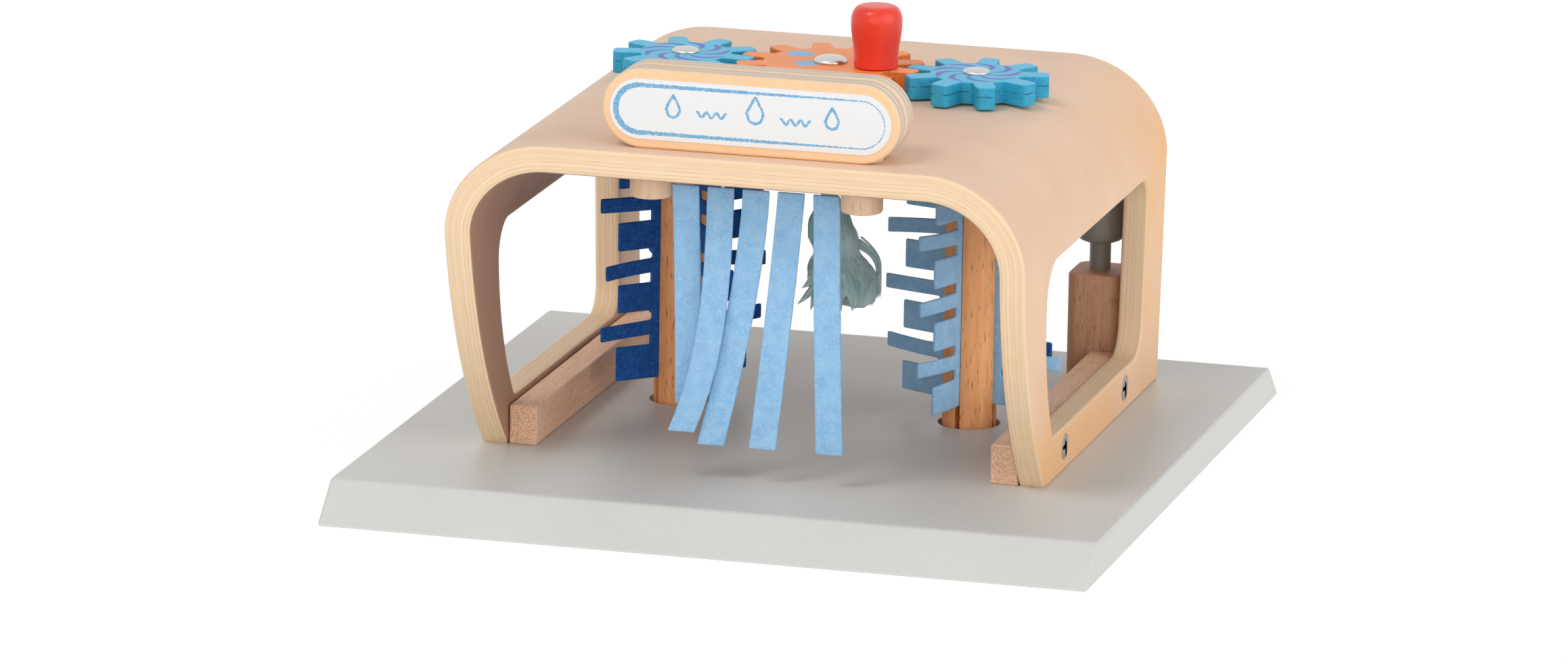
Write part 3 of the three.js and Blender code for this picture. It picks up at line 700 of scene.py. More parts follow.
def ply_finish(name, light, dark, glue, plies, thickness, cross_share):
    """Sawn plywood: pale plies with a thin darker glue line between them, every other one darker."""
    material = new_finish(name, light, 0.55)
    tree = material.node_tree
    depth = parts_of(tree, from_sheet(tree))[2]
    wobble = 0.0009 * (noise(tree, object_place(tree, (55, 55, 55)), 1, 2) - 0.5)
    layer = (depth + wobble) * (plies / thickness)
    ply = calc(tree, "FLOOR", layer)
    joint = calc(tree, "ROUND", layer)
    low = object_place(tree, (60, 60, 60))
    fibre_inputs = {0: low, 1: vector_of(tree, z=2600 * depth)}
    fibres = noise(tree, add_node(tree, "ShaderNodeVectorMath", fibre_inputs).outputs[0], 1, 3, 0.6)
    ply_tone = noise(tree, vector_of(tree, x=7.3 * ply), 1, 0)
    glue_tone = noise(tree, vector_of(tree, y=5.7 * joint), 1, 0)
    broken = stretched(tree, noise(tree, object_place(tree, (140, 140, 140)), 1, 2), 0.35, 0.6)
    crossed = abs(calc(tree, "MODULO", ply, 2))
    tone = 0.6 * fibres + 0.5 * ply_tone + cross_share * crossed
    line = stretched(tree, abs(calc(tree, "FRACT", layer) - 0.5), 0.44, 0.5)
    line *= stretched(tree, broken, 0, 1, 0.35, 1)
    line *= stretched(tree, glue_tone, 0.38, 0.62, 0.15, 0.95)
    colour = mixed(tree, stretched(tree, tone, 0.38, 0.72), light, dark)
    dress(material, mixed(tree, line, colour, glue), None, fibres - line, depth=0.00008)
    return material


roof_veneer = veneer_finish(
    "roof_veneer", tint(240, 208, 183), tint(228, 191, 162), tint(208, 166, 134))
roof_tree = roof_veneer.node_tree
warm_rear_ys = (0.02, 0.10)
warm_low_levels = (0.075, 0.035)
warm_wall_xs = (0.085, 0.112)
roof_x, roof_y, roof_level = parts_of(roof_tree, object_place(roof_tree))
warm_rear = calc(
    roof_tree,
    "MAXIMUM",
    stretched(roof_tree, roof_y, *warm_rear_ys, 0.3, 1),
    stretched(roof_tree, roof_level, *warm_low_levels, 0.3, 0.9),
)
warm_wall = warm_rear * stretched(roof_tree, roof_x, *warm_wall_xs)
warm_patches = stretched(roof_tree, noise(roof_tree, object_place(roof_tree), 26, 2), 0.35, 0.6, 0.5, 1)
add_paint(roof_veneer, warm_wall * warm_patches * 0.85, tint(240, 184, 122))
# The inner skin has its own veneer: a browner beech that is also darkened as painted shade for the inside
# of the arch.
inner_veneer = veneer_finish(
    "inner_veneer", tint(184, 144, 120), tint(164, 124, 100), tint(138, 100, 78))
inner_tree = inner_veneer.node_tree
# Painted light: the inner skin is painted lighter towards the back, where more light reaches it.
lit_rear_ys = (0.06, 0.09)
inner_y = parts_of(inner_tree, object_place(inner_tree))[1]
add_paint(inner_veneer, stretched(inner_tree, inner_y, *lit_rear_ys, 0, 0.85), tint(236, 200, 170))
ply_edge = ply_finish(
    "ply_edge",
    tint(247, 219, 183),
    tint(238, 204, 164),
    tint(192, 146, 100),
    plies=7,
    thickness=ply_thickness,
    cross_share=0.08,
)
arch.data.materials.clear()
for finish in (roof_veneer, ply_edge, inner_veneer):
    arch.data.materials.append(finish)
for face in arch.data.polygons:
    _, depth, (out_x, out_z) = sheet_place(face.center.x, face.center.z)
    facing = abs(face.normal.x * out_x + face.normal.z * out_z)
    skin = 0 if depth < ply_thickness / 2 else 2
    face.material_index = skin if facing > skin_share else 1
fitted(arch, None, "plywood", "root", "roof_arch")

# Guide rails: planed beech laths, glued and screwed inside the walls. The right one stops at the
# block. Their ends show speckled end grain.
rail_inner_x = 0.090
rail_outer_x = 0.101
rail_height = 0.0155
rail_front_y = -0.073
rail_easing = 0.0008
left_rail_end = arch_back_y
right_rail_end = 0.0874


def beech_finish(name, light, dark, fleck, grain, end_grain):
    """Solid beech with its grain along one axis: streaks, short dark flecks, speckled ends."""
    material = new_finish(name, light, 0.55)
    tree = material.node_tree
    place = object_place(tree)
    streaks = grained(tree, place, grain, 30, 500, 4, 0.6)
    clouds = grained(tree, place, grain, 12, 60, 2)
    flecks = stretched(tree, grained(tree, place, grain, 170, 1900, 1), 0.63, 0.72)
    tone = 0.6 * streaks + 0.5 * clouds
    colour = mixed(tree, stretched(tree, tone, 0.4, 0.7), light, dark)
    colour = mixed(tree, 0.85 * flecks, colour, fleck)
    pores = stretched(tree, noise(tree, place, 2600, 2), 0.4, 0.62)
    facing = add_node(tree, "ShaderNodeNewGeometry").outputs["Normal"]
    across = add_node(tree, "ShaderNodeVectorMath", {0: facing, 1: grain}, operation="DOT_PRODUCT")
    square = abs(Amount(tree, across.outputs["Value"]))
    colour = mixed(tree, stretched(tree, square, 0.7, 0.8), colour, mixed(tree, pores, end_grain, light))
    height = streaks - 0.6 * flecks
    dress(material, colour, stretched(tree, streaks, 0.3, 0.7, 0.5, 0.6), height, depth=0.00008)
    return material


rail_beech = beech_finish(
    "rail_beech", tint(250, 210, 178), tint(234, 188, 154), tint(188, 138, 104), (0, 1, 0),
    tint(192, 142, 108))
for side, rail_end, rail_node in ((-1, left_rail_end, "rail_left"), (1, right_rail_end, "rail_right")):
    edges = sorted((side * rail_inner_x, side * rail_outer_x))
    lath = rectangle(*edges, board_thickness, board_thickness + rail_height)
    rail = eased(prism(f"guide_{rail_node}", lath, rail_front_y, rail_end, "Y"), rail_easing)
    fitted(smoothed(rail), rail_beech, "beech", "root", rail_node)

# Screws: nickelled countersunk screws with a cross recess. Four hold the walls to the rails, five
# come up through the board and two small ones hold the batten.
screw_head = 0.0094
screw_shank = 0.0036
side_screw_length = 0.0189
base_screw_length = 0.0235
base_screw_x = 0.0955
base_screw_ys = (-0.060, 0.072)
base_screw_z = 0.0005
block_x = 0.0902
block_y = 0.09985
recess_length_share = 0.66
recess_width_share = 0.19
recess_depth_share = 0.24
nickel = speckled_finish(
    "nickel", tint(205, 203, 198), 0.28, 2400, relief=0.00002, detail=3, shine=(0.2, 0.36), metallic=1)
screw_nickel = speckled_finish(
    "screw_nickel", tint(184, 181, 176), 0.45, 1500, relief=0.00005, detail=3,
    pair=(tint(160, 157, 152), tint(205, 203, 198)), metallic=0.7)


def new_tree(name, *inputs):
    """A geometry tree with named inputs, and the sockets that they feed, by name."""
    tree = bpy.data.node_groups.new(name, "GeometryNodeTree")
    tree.interface.new_socket("Geometry", in_out="OUTPUT", socket_type="NodeSocketGeometry")
    for label, kind, value in inputs:
        socket = tree.interface.new_socket(label, in_out="INPUT", socket_type=f"NodeSocket{kind}")
        if value is not None:
            socket.default_value = value
    sockets = add_node(tree, "NodeGroupInput").outputs
    return tree, {socket.name: Amount(tree, socket) for socket in sockets}


def tree_end(tree, geometry, material):
    realized = add_node(tree, "GeometryNodeRealizeInstances", {0: geometry})
    painted = add_node(tree, "GeometryNodeSetMaterial", {
        "Geometry": realized.outputs[0],
        "Material": material,
    })
    add_node(tree, "NodeGroupOutput", {0: painted.outputs[0]})


def grown(name, tree, mesh=None, **settings):
    """A piece that the tree makes, with its inputs set by their names' words."""
    piece = plain_object(name, mesh or bpy.data.meshes.new(name))
    modifier = piece.modifiers.new("grow", "NODES")
    modifier.node_group = tree
    for item in tree.interface.items_tree:
        key = item.name.lower().replace(" ", "_")
        if item.in_out == "INPUT" and key in settings:
            modifier[item.identifier] = settings[key]
    return made_plain(piece)


screw_tree, screw_in = new_tree(
    "screws",
    ("Places", "Geometry", None),
    ("Head Diameter", "Float", screw_head),
    ("Shank Diameter", "Float", screw_shank),
    ("Length", "Float", side_screw_length),
    ("Finish", "Material", None),
)
head_radius = screw_in["Head Diameter"] * 0.5
shank_radius = screw_in["Shank Diameter"] * 0.5
head_depth = head_radius - shank_radius
head_bottom = -head_depth
head_cone = add_node(screw_tree, "GeometryNodeMeshCone", {
    "Vertices": 32,
    "Radius Top": head_radius,
    "Radius Bottom": shank_radius,
    "Depth": head_depth,
})
head = add_node(screw_tree, "GeometryNodeTransform", {
    "Geometry": head_cone.outputs[0],
    "Translation": vector_of(screw_tree, z=head_bottom),
})
shank_length = screw_in["Length"] - head_depth
shank_cylinder = add_node(screw_tree, "GeometryNodeMeshCylinder", {
    "Vertices": 24,
    "Radius": shank_radius,
    "Depth": shank_length,
})
shank = add_node(screw_tree, "GeometryNodeTransform", {
    "Geometry": shank_cylinder.outputs[0],
    "Translation": vector_of(screw_tree, z=head_bottom - 0.5 * shank_length),
})
recess_sizes = [
    screw_in["Head Diameter"] * share
    for share in (recess_length_share, recess_width_share, 2 * recess_depth_share)
]
crossing = add_node(screw_tree, "GeometryNodeJoinGeometry")
for order in ((0, 1, 2), (1, 0, 2)):
    bar_size = vector_of(screw_tree, *[recess_sizes[index] for index in order])
    bar = add_node(screw_tree, "GeometryNodeMeshCube", {"Size": bar_size})
    screw_tree.links.new(bar.outputs[0], crossing.inputs[0])
recessed = add_node(screw_tree, "GeometryNodeMeshBoolean", {
    "Mesh 1": head.outputs[0],
    "Mesh 2": crossing.outputs[0],
}, operation="DIFFERENCE")
screw_whole = add_node(screw_tree, "GeometryNodeJoinGeometry")
for part in (recessed, shank):
    screw_tree.links.new(part.outputs[0], screw_whole.inputs[0])
screw_turn = add_node(screw_tree, "GeometryNodeInputNamedAttribute", {"Name": "turn"},
                      data_type="FLOAT_VECTOR")
screws_placed = add_node(screw_tree, "GeometryNodeInstanceOnPoints", {
    "Points": screw_in["Places"],
    "Instance": screw_whole.outputs[0],
    "Rotation": screw_turn.outputs[0],
})
tree_end(screw_tree, screws_placed.outputs[0], screw_in["Finish"])


def points_mesh(name, places, turns):
    mesh = bpy.data.meshes.new(name)
    mesh.from_pydata(places, [], [])
    layer = mesh.attributes.new("turn", "FLOAT_VECTOR", "POINT")
    for item, turn in zip(layer.data, turns):
        item.vector = turn
    return mesh


side_places = [(side * side_screw_x, y, side_screw_z) for side in (-1, 1) for y in side_screw_ys]
side_turns = [(0, math.copysign(math.pi / 2, x), 0) for x, _, _ in side_places]
side_screws = grown(
    "wall_screws",
    screw_tree,
    points_mesh("wall_screw_places", side_places, side_turns),
    head_diameter=screw_head,
    shank_diameter=screw_shank,
    length=side_screw_length,
    finish=screw_nickel,
)
fitted(
    smoothed(side_screws, 30), screw_nickel, "nickel", "root",
    "side_screw_front_left", "side_screw_rear_left",
    "side_screw_front_right", "side_screw_rear_right",
)
base_places = [
    (side * base_screw_x, y, base_screw_z) for side in (-1, 1) for y in base_screw_ys
]
base_places.append((block_x, block_y, base_screw_z))
base_screws = grown(
    "board_screws",
    screw_tree,
    points_mesh("board_screw_places", base_places, [(math.pi, 0, 0)] * len(base_places)),
    head_diameter=screw_head,
    shank_diameter=screw_shank,
    length=base_screw_length,
    finish=screw_nickel,
)
fitted(
    smoothed(base_screws, 30), screw_nickel, "nickel", "root",
    "base_screw_1", "base_screw_2", "base_screw_3", "base_screw_4", "block_screw",
)

# Block and post: a beech block behind the right rail, with a dark plastic post and a domed dark
# plastic head on it, moulded with a fine texture.
block_width = 0.0216
block_depth = 0.0243
block_height = 0.046
block_corner = 0.005
block_easing = 0.0012
post_radius = 0.0042
post_seat = 0.008
post_bottom_seat = 0.0077
post_top_seat = 0.0001
bell_bottom = board_thickness + 0.0574
bell_height = 0.022
bell_radius = 0.01025
bell_radius_shares = (0.44, 0.62, 0.80, 0.93, 1, 1, 0.97, 0.90, 0.76, 0.55, 0.30, 0)
bell_height_shares = (0, 0, 0.035, 0.10, 0.22, 0.5, 0.66, 0.79, 0.90, 0.965, 0.993, 1)


def rounded_rectangle(width, depth, corner, centre=(0, 0), steps=8):
    points = []
    for turn, (side_x, side_y) in enumerate(((1, 1), (-1, 1), (-1, -1), (1, -1))):
        start = turn * math.pi / 2
        points += arc(
            centre[0] + side_x * (width / 2 - corner),
            centre[1] + side_y * (depth / 2 - corner),
            corner, corner, start, start + math.pi / 2, steps,
        )
    return points


block_top = board_thickness + block_height
block = prism(
    "post_block",
    rounded_rectangle(block_width, block_depth, block_corner, (block_x, block_y)),
    board_thickness,
    block_top,
    "Z",
)
eased(block, block_easing)
post_hole = circle(post_radius, (block_x, block_y))
carved(block, [prism("post_hole", post_hole, block_top - post_seat, block_top + cut_overrun, "Z")])
block_beech = beech_finish(
    "block_beech", tint(216, 166, 130), tint(196, 146, 110), tint(156, 110, 80), (0, 0, 1),
    tint(190, 142, 112))
fitted(smoothed(block), block_beech, "beech", "root", "rear_block")
dark_plastic = speckled_finish(
    "dark_plastic", tint(140, 136, 126), 0.5, 2200, relief=0.00006,
    pair=(tint(130, 126, 116), tint(150, 145, 134)), shine=(0.42, 0.58))
post = turned(
    "dark_post",
    [(post_radius, block_top - post_bottom_seat), (post_radius, bell_bottom + post_top_seat)],
    (block_x, block_y),
)
fitted(smoothed(post), dark_plastic, "dark_plastic", "root", "rear_post")
bell_profile = [(0, bell_bottom)] + [
    (share * bell_radius, bell_bottom + rise * bell_height)
    for share, rise in zip(bell_radius_shares, bell_height_shares)
]
bell = turned("dark_bell", bell_profile, (block_x, block_y))
fitted(smoothed(bell, 60), dark_plastic, "dark_plastic", "root", "rear_bell")

# Brush rollers: turned beech dowels whose upper ends are shafts through the roof. Four sawn kerfs
# hold the felt flags.
roller_bottom = board_thickness - 0.0107
roller_top = board_thickness + 0.1187
shaft_radius = 0.004
shaft_top = board_thickness + 0.1388
kerf_width = 0.0021
kerf_inner = 0.0035
flag_bottom = board_thickness + 0.0085
flag_top = 0.12978
left_flag_turn = math.radians(-135)
right_flag_turn = math.radians(-102)
roller_easing = 0.0006
roller_beech = beech_finish(
    "roller_beech", tint(254, 186, 124), tint(238, 160, 102), tint(150, 86, 50), (0, 0, 1),
    tint(196, 134, 92))
for side, name, first_turn in ((-1, "left", left_flag_turn), (1, "right", right_flag_turn)):
    centre = (side * roller_x, gear_row_y)
    roller = turned(
        f"{name}_dowel",
        [
            (roller_radius - roller_easing, roller_bottom),
            (roller_radius, roller_bottom + roller_easing),
            (roller_radius, roller_top - roller_easing),
            (roller_radius - roller_easing, roller_top),
            (shaft_radius, roller_top),
            (shaft_radius, shaft_top),
        ],
        centre,
    )
    kerfs = []
    for quarter in range(4):
        kerf = prism(
            "kerf",
            rectangle(kerf_inner, roller_radius + cut_overrun, -kerf_width / 2, kerf_width / 2),
            roller_bottom - cut_overrun,
            flag_top + roller_easing,
            "Z",
        )
        turn = Matrix.Rotation(first_turn + quarter * math.pi / 2, 4, "Z")
        kerf.data.transform(Matrix.Translation((*centre, 0)) @ turn)
        kerfs.append(kerf)
    carved(roller, kerfs)
    fitted(smoothed(roller, 30), roller_beech, "roller_beech", f"{name}_brush", f"{name}_roller")

# Felt flags: combs cut from felt, wide and narrow tabs in turn, pushed into the kerfs. The left
# brush is dark blue, the right one is pale blue with one dark flag.
felt_thickness = 0.0015
flag_seat = 0.005
slot_root = 0.0136
wide_reach = 0.02902
narrow_reach = 0.03652
wide_tab = 0.0115
narrow_tab = 0.006
tab_slot = 0.0037
least_tab = 0.001
flag_cell = 0.0013
curl_shortening = 18  # per metre: how much nearer a curled tab's end comes
millimetre = 0.001
hair_gap = 1e-7
flag_starts = {"left": (flag_bottom + 0.0012, 0.0138), "right": (flag_bottom, wide_tab)}


def felt_finish(name, colour, deep, pale, sheen):
    """Pressed wool: clouded colour, crossing fibres and a soft sheen."""
    material = new_finish(
        name, colour, 1, sheen_weight=sheen, sheen_roughness=0.6, sheen_tint=(*pale[:3], 1))
    tree = material.node_tree
    clouds = noise(tree, object_place(tree), 210, 3, 0.6)
    fibres = noise(tree, object_place(tree, (1, 1, 0.5)), 1500, 3, 0.7)
    strands = noise(tree, object_place(tree, (0.6, 0.6, 1.5)), 900, 2, 0.8)
    tone = 0.6 * fibres + 0.4 * strands
    shaded = mixed(tree, stretched(tree, clouds, 0.3, 0.7), deep, colour)
    speckled = mixed(tree, stretched(tree, tone, 0.5, 0.72), shaded, pale)
    dress(material, speckled, None, 0.8 * clouds + tone, depth=0.00035)
    return material


pale_felt = felt_finish(
    "pale_felt", tint(154, 200, 234), tint(132, 182, 224), tint(184, 214, 240), 0.4)
dark_felt = felt_finish(
    "dark_felt", tint(16, 88, 166), tint(6, 66, 140), tint(62, 128, 200), 0.25)


def give_thickness(piece):
    """Gives a sheet of felt its thickness, half to each side."""
    modifier = piece.modifiers.new("thick", "SOLIDIFY")
    modifier.thickness = felt_thickness
    modifier.offset = 0


def flag_rows(bottom, first_tab):
    """The heights where a flag's tabs and slots begin, each with its reach."""
    rows = []
    wide = True
    while bottom < flag_top - least_tab:
        tab = first_tab if not rows else wide_tab if wide else narrow_tab
        top = min(bottom + tab, flag_top)
        rows.append((bottom, top, wide_reach if wide else narrow_reach))
        if top < flag_top:
            rows.append((top, min(top + tab_slot, flag_top), slot_root))
        bottom = top + tab_slot
        wide = not wide
    return rows


def flag_piece(name, turn, centre, rows, lifts, curls):
    """A comb of small squares, thickened, with each tab bent its own way."""
    shape = bmesh.new()
    made = {}

    def corner(reach, height):
        key = (round(reach, 6), round(height, 6))
        if key not in made:
            made[key] = shape.verts.new((reach, 0, height))
        return made[key]

    stops = [flag_seat, slot_root, wide_reach, narrow_reach]
    columns = [flag_seat]
    for start, end in zip(stops, stops[1:]):
        count = max(1, round((end - start) / flag_cell))
        columns += [start + (end - start) * (i + 1) / count for i in range(count)]
    tabs = []
    for row, (bottom, top, reach) in enumerate(rows):
        count = max(2, round((top - bottom) / flag_cell))
        levels = [bottom + (top - bottom) * i / count for i in range(count + 1)]
        if row % 2 == 0:
            tabs.append((bottom, top, lifts[row // 2] * millimetre, curls[row // 2] * millimetre))
        for low, high in zip(levels, levels[1:]):
            for near, far in zip(columns, columns[1:]):
                if far <= reach + hair_gap:
                    shape.faces.new((
                        corner(near, low), corner(far, low), corner(far, high), corner(near, high)))
    for vertex in shape.verts:
        reach, _, height = vertex.co
        free = max(0, reach - roller_radius) / (narrow_reach - roller_radius)
        for bottom, top, lift, curl in tabs:
            if bottom - hair_gap <= height <= top + hair_gap and reach > slot_root + hair_gap:
                vertex.co.y = curl * free ** 1.7
                vertex.co.x -= curl ** 2 * free ** 2.4 * curl_shortening
                vertex.co.z += lift * free ** 1.4
    flag = piece_from(shape, name, recalculate=False)
    give_thickness(flag)
    soft = flag.modifiers.new("soft", "SUBSURF")
    soft.levels = 1
    soft.render_levels = 1
    made_plain(flag)
    flag.data.transform(Matrix.Translation((*centre, 0)) @ Matrix.Rotation(turn, 4, "Z"))
    return flag


brush_flags = {
    "left": (left_flag_turn, (
        (dark_felt, (0.0, -1.0, 0.3, -0.8, 0.0, 0.6, 0.2, 0.5, 0.0),
         (-0.8, 0.6, 1.2, 4.0, 0.5, -0.6, 0.9, 0.4, 0.2)),
        (dark_felt, (0.5, -0.8, 0.2, 1.0, -0.4, 0.8, 0.1, -0.6, 0.0),
         (1.0, -1.5, 0.6, 2.0, -1.0, 1.6, 0.4, -0.8, 0.2)),
        (dark_felt, (-0.4, 1.2, 0.3, -1.6, 0.6, 1.0, -0.5, 0.7, 0.0),
         (-1.0, 1.4, 0.7, -1.8, 0.6, 1.0, -0.6, 1.2, 0.2)),
        (dark_felt, (0.2, 0.6, -0.5, -0.8, 0.4, 0.3, 0.5, -0.4, 0.0),
         (-4.0, -5.0, -4.2, -5.5, -4.0, -5.2, -4.4, -5.0, -3.0)),
    )),
    "right": (right_flag_turn, (
        (pale_felt, (-0.6, 0.4, 0.5, -0.3, 0.3, 1.0, 0.5, 0.2, 0.0),
         (-3.4, -5.2, -3.0, -4.6, -3.6, -5.4, -3.2, -4.4, -2.0)),
        (pale_felt, (0.3, -0.8, 0.5, 0.9, -0.4, 0.6, 0.2, -0.5, 0.0),
         (0.8, 7.5, 1.0, -9.0, -0.8, -9.0, 0.6, -8.0, 0.2)),
        (dark_felt, (0.4, -0.9, 0.2, 0.8, -0.3, 0.9, 0.1, 0.5, 0.0),
         (-3.0, -22.0, -2.4, -5.0, -0.8, 1.0, 0.8, -1.2, 0.2)),
        (pale_felt, (2.5, 2.2, 1.5, 1.1, 0.2, -1.8, 0.4, 0.6, 0.0),
         (1.2, -1.0, 0.8, 1.4, -0.6, 0.5, -0.4, 1.0, 0.3)),
    )),
}
for side, name in ((-1, "left"), (1, "right")):
    first_turn, flags = brush_flags[name]
    rows = flag_rows(*flag_starts[name])
    flag_length = flag_top - rows[0][0]
    flag_area = sum((reach - flag_seat) * (top - bottom) for bottom, top, reach in rows)
    for quarter, (felt, lifts, curls) in enumerate(flags):
        turn = first_turn + quarter * math.pi / 2
        flag = flag_piece(
            f"{name}_felt_{quarter + 1}", turn, (side * roller_x, gear_row_y), rows, lifts, curls)
        flag.data.shade_smooth()
        felt_slot = "dark_felt" if felt is dark_felt else "pale_felt"
        fitted(flag, felt, felt_slot, f"{name}_brush", f"{name}_flag_{quarter + 1}")

# Gears: sawn from plywood and painted. The two driven ones are blue with a violet pinwheel, the
# crank gear is orange with two pale blue dots. Their teeth are a soft wave.
gear_module = 0.00556
crank_teeth = 12
driven_teeth = 9
tooth_addendum = 0.0032
tooth_dedendum = 0.007
tooth_flank_share = 0.6
gear_bottom = board_thickness + 0.1303
gear_thickness = 0.0088
gear_top = gear_bottom + gear_thickness
gear_easing = 0.0006
merge_gap = 0.00001
glue_line_share = 0.6
glue_line_halves = (0.00008, 0.0003)
blade_softness = 0.012
pinwheel_inner = 0.0045
pinwheel_outer = 0.0178
pinwheel_sweep = 0.13
dot_rows = ((0.0185, 144, 0.0055), (0.0100, -145, 0.0050))  # reach, degrees round, radius
dot_rim = 0.0003
dot_softness = 0.0001
crank_phase = math.radians(-9.27)
driven_phases = {
    "left": (math.pi * (crank_teeth + 1) - crank_teeth * crank_phase) / driven_teeth,
    "right": (math.pi * (driven_teeth + 1) - crank_teeth * crank_phase) / driven_teeth,
}
gear_tree, gear_in = new_tree(
    "gear",
    ("Teeth", "Int", 12),
    ("Module", "Float", gear_module),
    ("Addendum", "Float", tooth_addendum),
    ("Dedendum", "Float", tooth_dedendum),
    ("Flank Share", "Float", tooth_flank_share),
    ("Phase", "Float", 0.0),
    ("Thickness", "Float", gear_thickness),
    ("Points Per Tooth", "Int", 28),
    ("Finish", "Material", None),
)
gear_teeth = gear_in["Teeth"]
outline_count = gear_teeth * gear_in["Points Per Tooth"]
blank = add_node(
    gear_tree, "GeometryNodeMeshCircle", {"Vertices": outline_count, "Radius": 1.0}, fill_type="NGON")
gear_index = Amount(gear_tree, add_node(gear_tree, "GeometryNodeInputIndex").outputs[0])
gear_angle = gear_index / outline_count * (2 * math.pi)
pitch_radius = gear_teeth * gear_in["Module"] * 0.5
gear_radius = add_node(gear_tree, "ShaderNodeMapRange", {
    "Value": calc(gear_tree, "COSINE", gear_angle * gear_teeth),
    1: -gear_in["Flank Share"],
    2: gear_in["Flank Share"],
    3: pitch_radius - gear_in["Dedendum"],
    4: pitch_radius + gear_in["Addendum"],
}, interpolation_type="SMOOTHSTEP").outputs[0]
gear_turn = gear_angle + gear_in["Phase"]
gear_point = vector_of(
    gear_tree,
    calc(gear_tree, "COSINE", gear_turn) * gear_radius,
    calc(gear_tree, "SINE", gear_turn) * gear_radius,
)
toothed = add_node(gear_tree, "GeometryNodeSetPosition", {
    "Geometry": blank.outputs[0],
    "Position": gear_point,
})
thickened = add_node(gear_tree, "GeometryNodeExtrudeMesh", {
    "Mesh": toothed.outputs[0],
    "Offset": (0, 0, 1),
    "Offset Scale": gear_in["Thickness"],
    "Individual": False,
})
underside = add_node(gear_tree, "GeometryNodeFlipFaces", {0: toothed.outputs[0]})
gear_whole = add_node(gear_tree, "GeometryNodeJoinGeometry")
for part in (thickened, underside):
    gear_tree.links.new(part.outputs[0], gear_whole.inputs[0])
gear_closed = add_node(gear_tree, "GeometryNodeMergeByDistance", {
    "Geometry": gear_whole.outputs[0],
    "Distance": merge_gap,
})
tree_end(gear_tree, gear_closed.outputs[0], gear_in["Finish"])


def painted_ply(name, top, side_deep, side_light, centre):
    """Paint on plywood: even on the faces, and rough with a dark glue line on the sawn edge."""
    material = new_finish(name, top, 0.5, coat_weight=0.1, coat_roughness=0.35)
    tree = material.node_tree
    place = object_place(tree, centre=(*centre, gear_bottom))
    wobble = 0.0008 * noise(tree, object_place(tree), 160, 2)
    level = parts_of(tree, place)[2] + wobble - glue_line_share * gear_thickness
    line = stretched(tree, abs(level), *glue_line_halves, 1, 0)
    line *= stretched(tree, noise(tree, object_place(tree), 230, 1), 0.4, 0.56)
    facing = add_node(tree, "ShaderNodeNewGeometry").outputs["Normal"]
    sawn = stretched(tree, abs(parts_of(tree, facing)[2]), 0.35, 0.75, 1, 0)
    rough = noise(tree, object_place(tree, (1, 1, 1.9)), 1250, 3, 0.7)
    faint = noise(tree, object_place(tree), 900, 2)
    edge = mixed(tree, stretched(tree, rough, 0.35, 0.62), side_deep, side_light)
    edge = mixed(tree, 0.8 * line, edge, [0.45 * c for c in side_deep[:3]] + [1])
    face = mixed(tree, stretched(tree, faint, 0.3, 0.7), top, [0.93 * c for c in top[:3]] + [1])
    dress(material, mixed(tree, sawn, face, edge), None, sawn * (rough - line), depth=0.0003)
    return material, place, sawn


def pinwheel(tree, place, blades, inner, outer, sweep):
    """Blades that leave the hub thin, widen outwards and end in a tail along the rim."""
    x, y, _ = parts_of(tree, place)
    radius = calc(tree, "SQRT", x ** 2 + y ** 2)
    share = stretched(tree, radius, inner, outer)
    angle = calc(tree, "ARCTAN2", y, x) / (2 * math.pi)
    around = (angle - share ** 2.2 * sweep) * blades
    offset = abs(calc(tree, "FRACT", around) - 0.5)
    half = (share ** 1.2 * 0.24 + 0.05) * stretched(tree, share, 0.82, 1, 1, 0)
    inside = calc(tree, "GREATER_THAN", radius, inner) * calc(tree, "LESS_THAN", radius, outer)
    return stretched(tree, half - offset, -blade_softness, blade_softness) * inside


for side, name in ((-1, "left"), (1, "right")):
    centre = (side * roller_x, gear_row_y)
    blue_paint, paint_place, sawn_edge = painted_ply(
        f"blue_paint_{name}", tint(84, 192, 230), tint(14, 138, 182), tint(44, 178, 216), centre)
    blades = pinwheel(
        blue_paint.node_tree, paint_place, driven_teeth, pinwheel_inner, pinwheel_outer, pinwheel_sweep)
    add_paint(blue_paint, blades * (1 - sawn_edge), tint(88, 98, 186))
    gear = grown(
        f"{name}_blue_gear", gear_tree, teeth=driven_teeth, phase=driven_phases[name], finish=blue_paint)
    gear.data.transform(Matrix.Translation((*centre, gear_bottom)))
    eased(gear, gear_easing, 3, 50)
    fitted(smoothed(gear), blue_paint, "blue_wood", f"{name}_brush", f"{name}_gear")

crank_place = (0, gear_row_y)
orange_paint, orange_place, orange_sawn = painted_ply(
    "orange_paint", tint(252, 150, 78), tint(206, 104, 38), tint(246, 138, 62), crank_place)
orange_tree = orange_paint.node_tree
for dot_reach, dot_turn, dot_radius in dot_rows:
    turn = math.radians(dot_turn)
    dot_place = (dot_reach * math.cos(turn), dot_reach * math.sin(turn), 0)
    flat = scaled_place(orange_tree, orange_place, (1, 1, 0))
    away = add_node(
        orange_tree, "ShaderNodeVectorMath", {0: flat, 1: dot_place}, operation="DISTANCE")
    for radius, colour in (
        (dot_radius + dot_rim, tint(206, 190, 178)),
        (dot_radius, tint(142, 182, 216)),
    ):
        inside = stretched(
            orange_tree, away.outputs["Value"], radius - dot_softness, radius + dot_softness, 1, 0)
        add_paint(orange_paint, inside * (1 - orange_sawn), colour)
crank_gear = grown(
    "orange_gear", gear_tree, teeth=crank_teeth, phase=crank_phase, finish=orange_paint)
crank_gear.data.transform(Matrix.Translation((*crank_place, gear_bottom)))
eased(crank_gear, gear_easing, 3, 50)
fitted(smoothed(crank_gear), orange_paint, "orange_wood", "crank", "crank_gear")

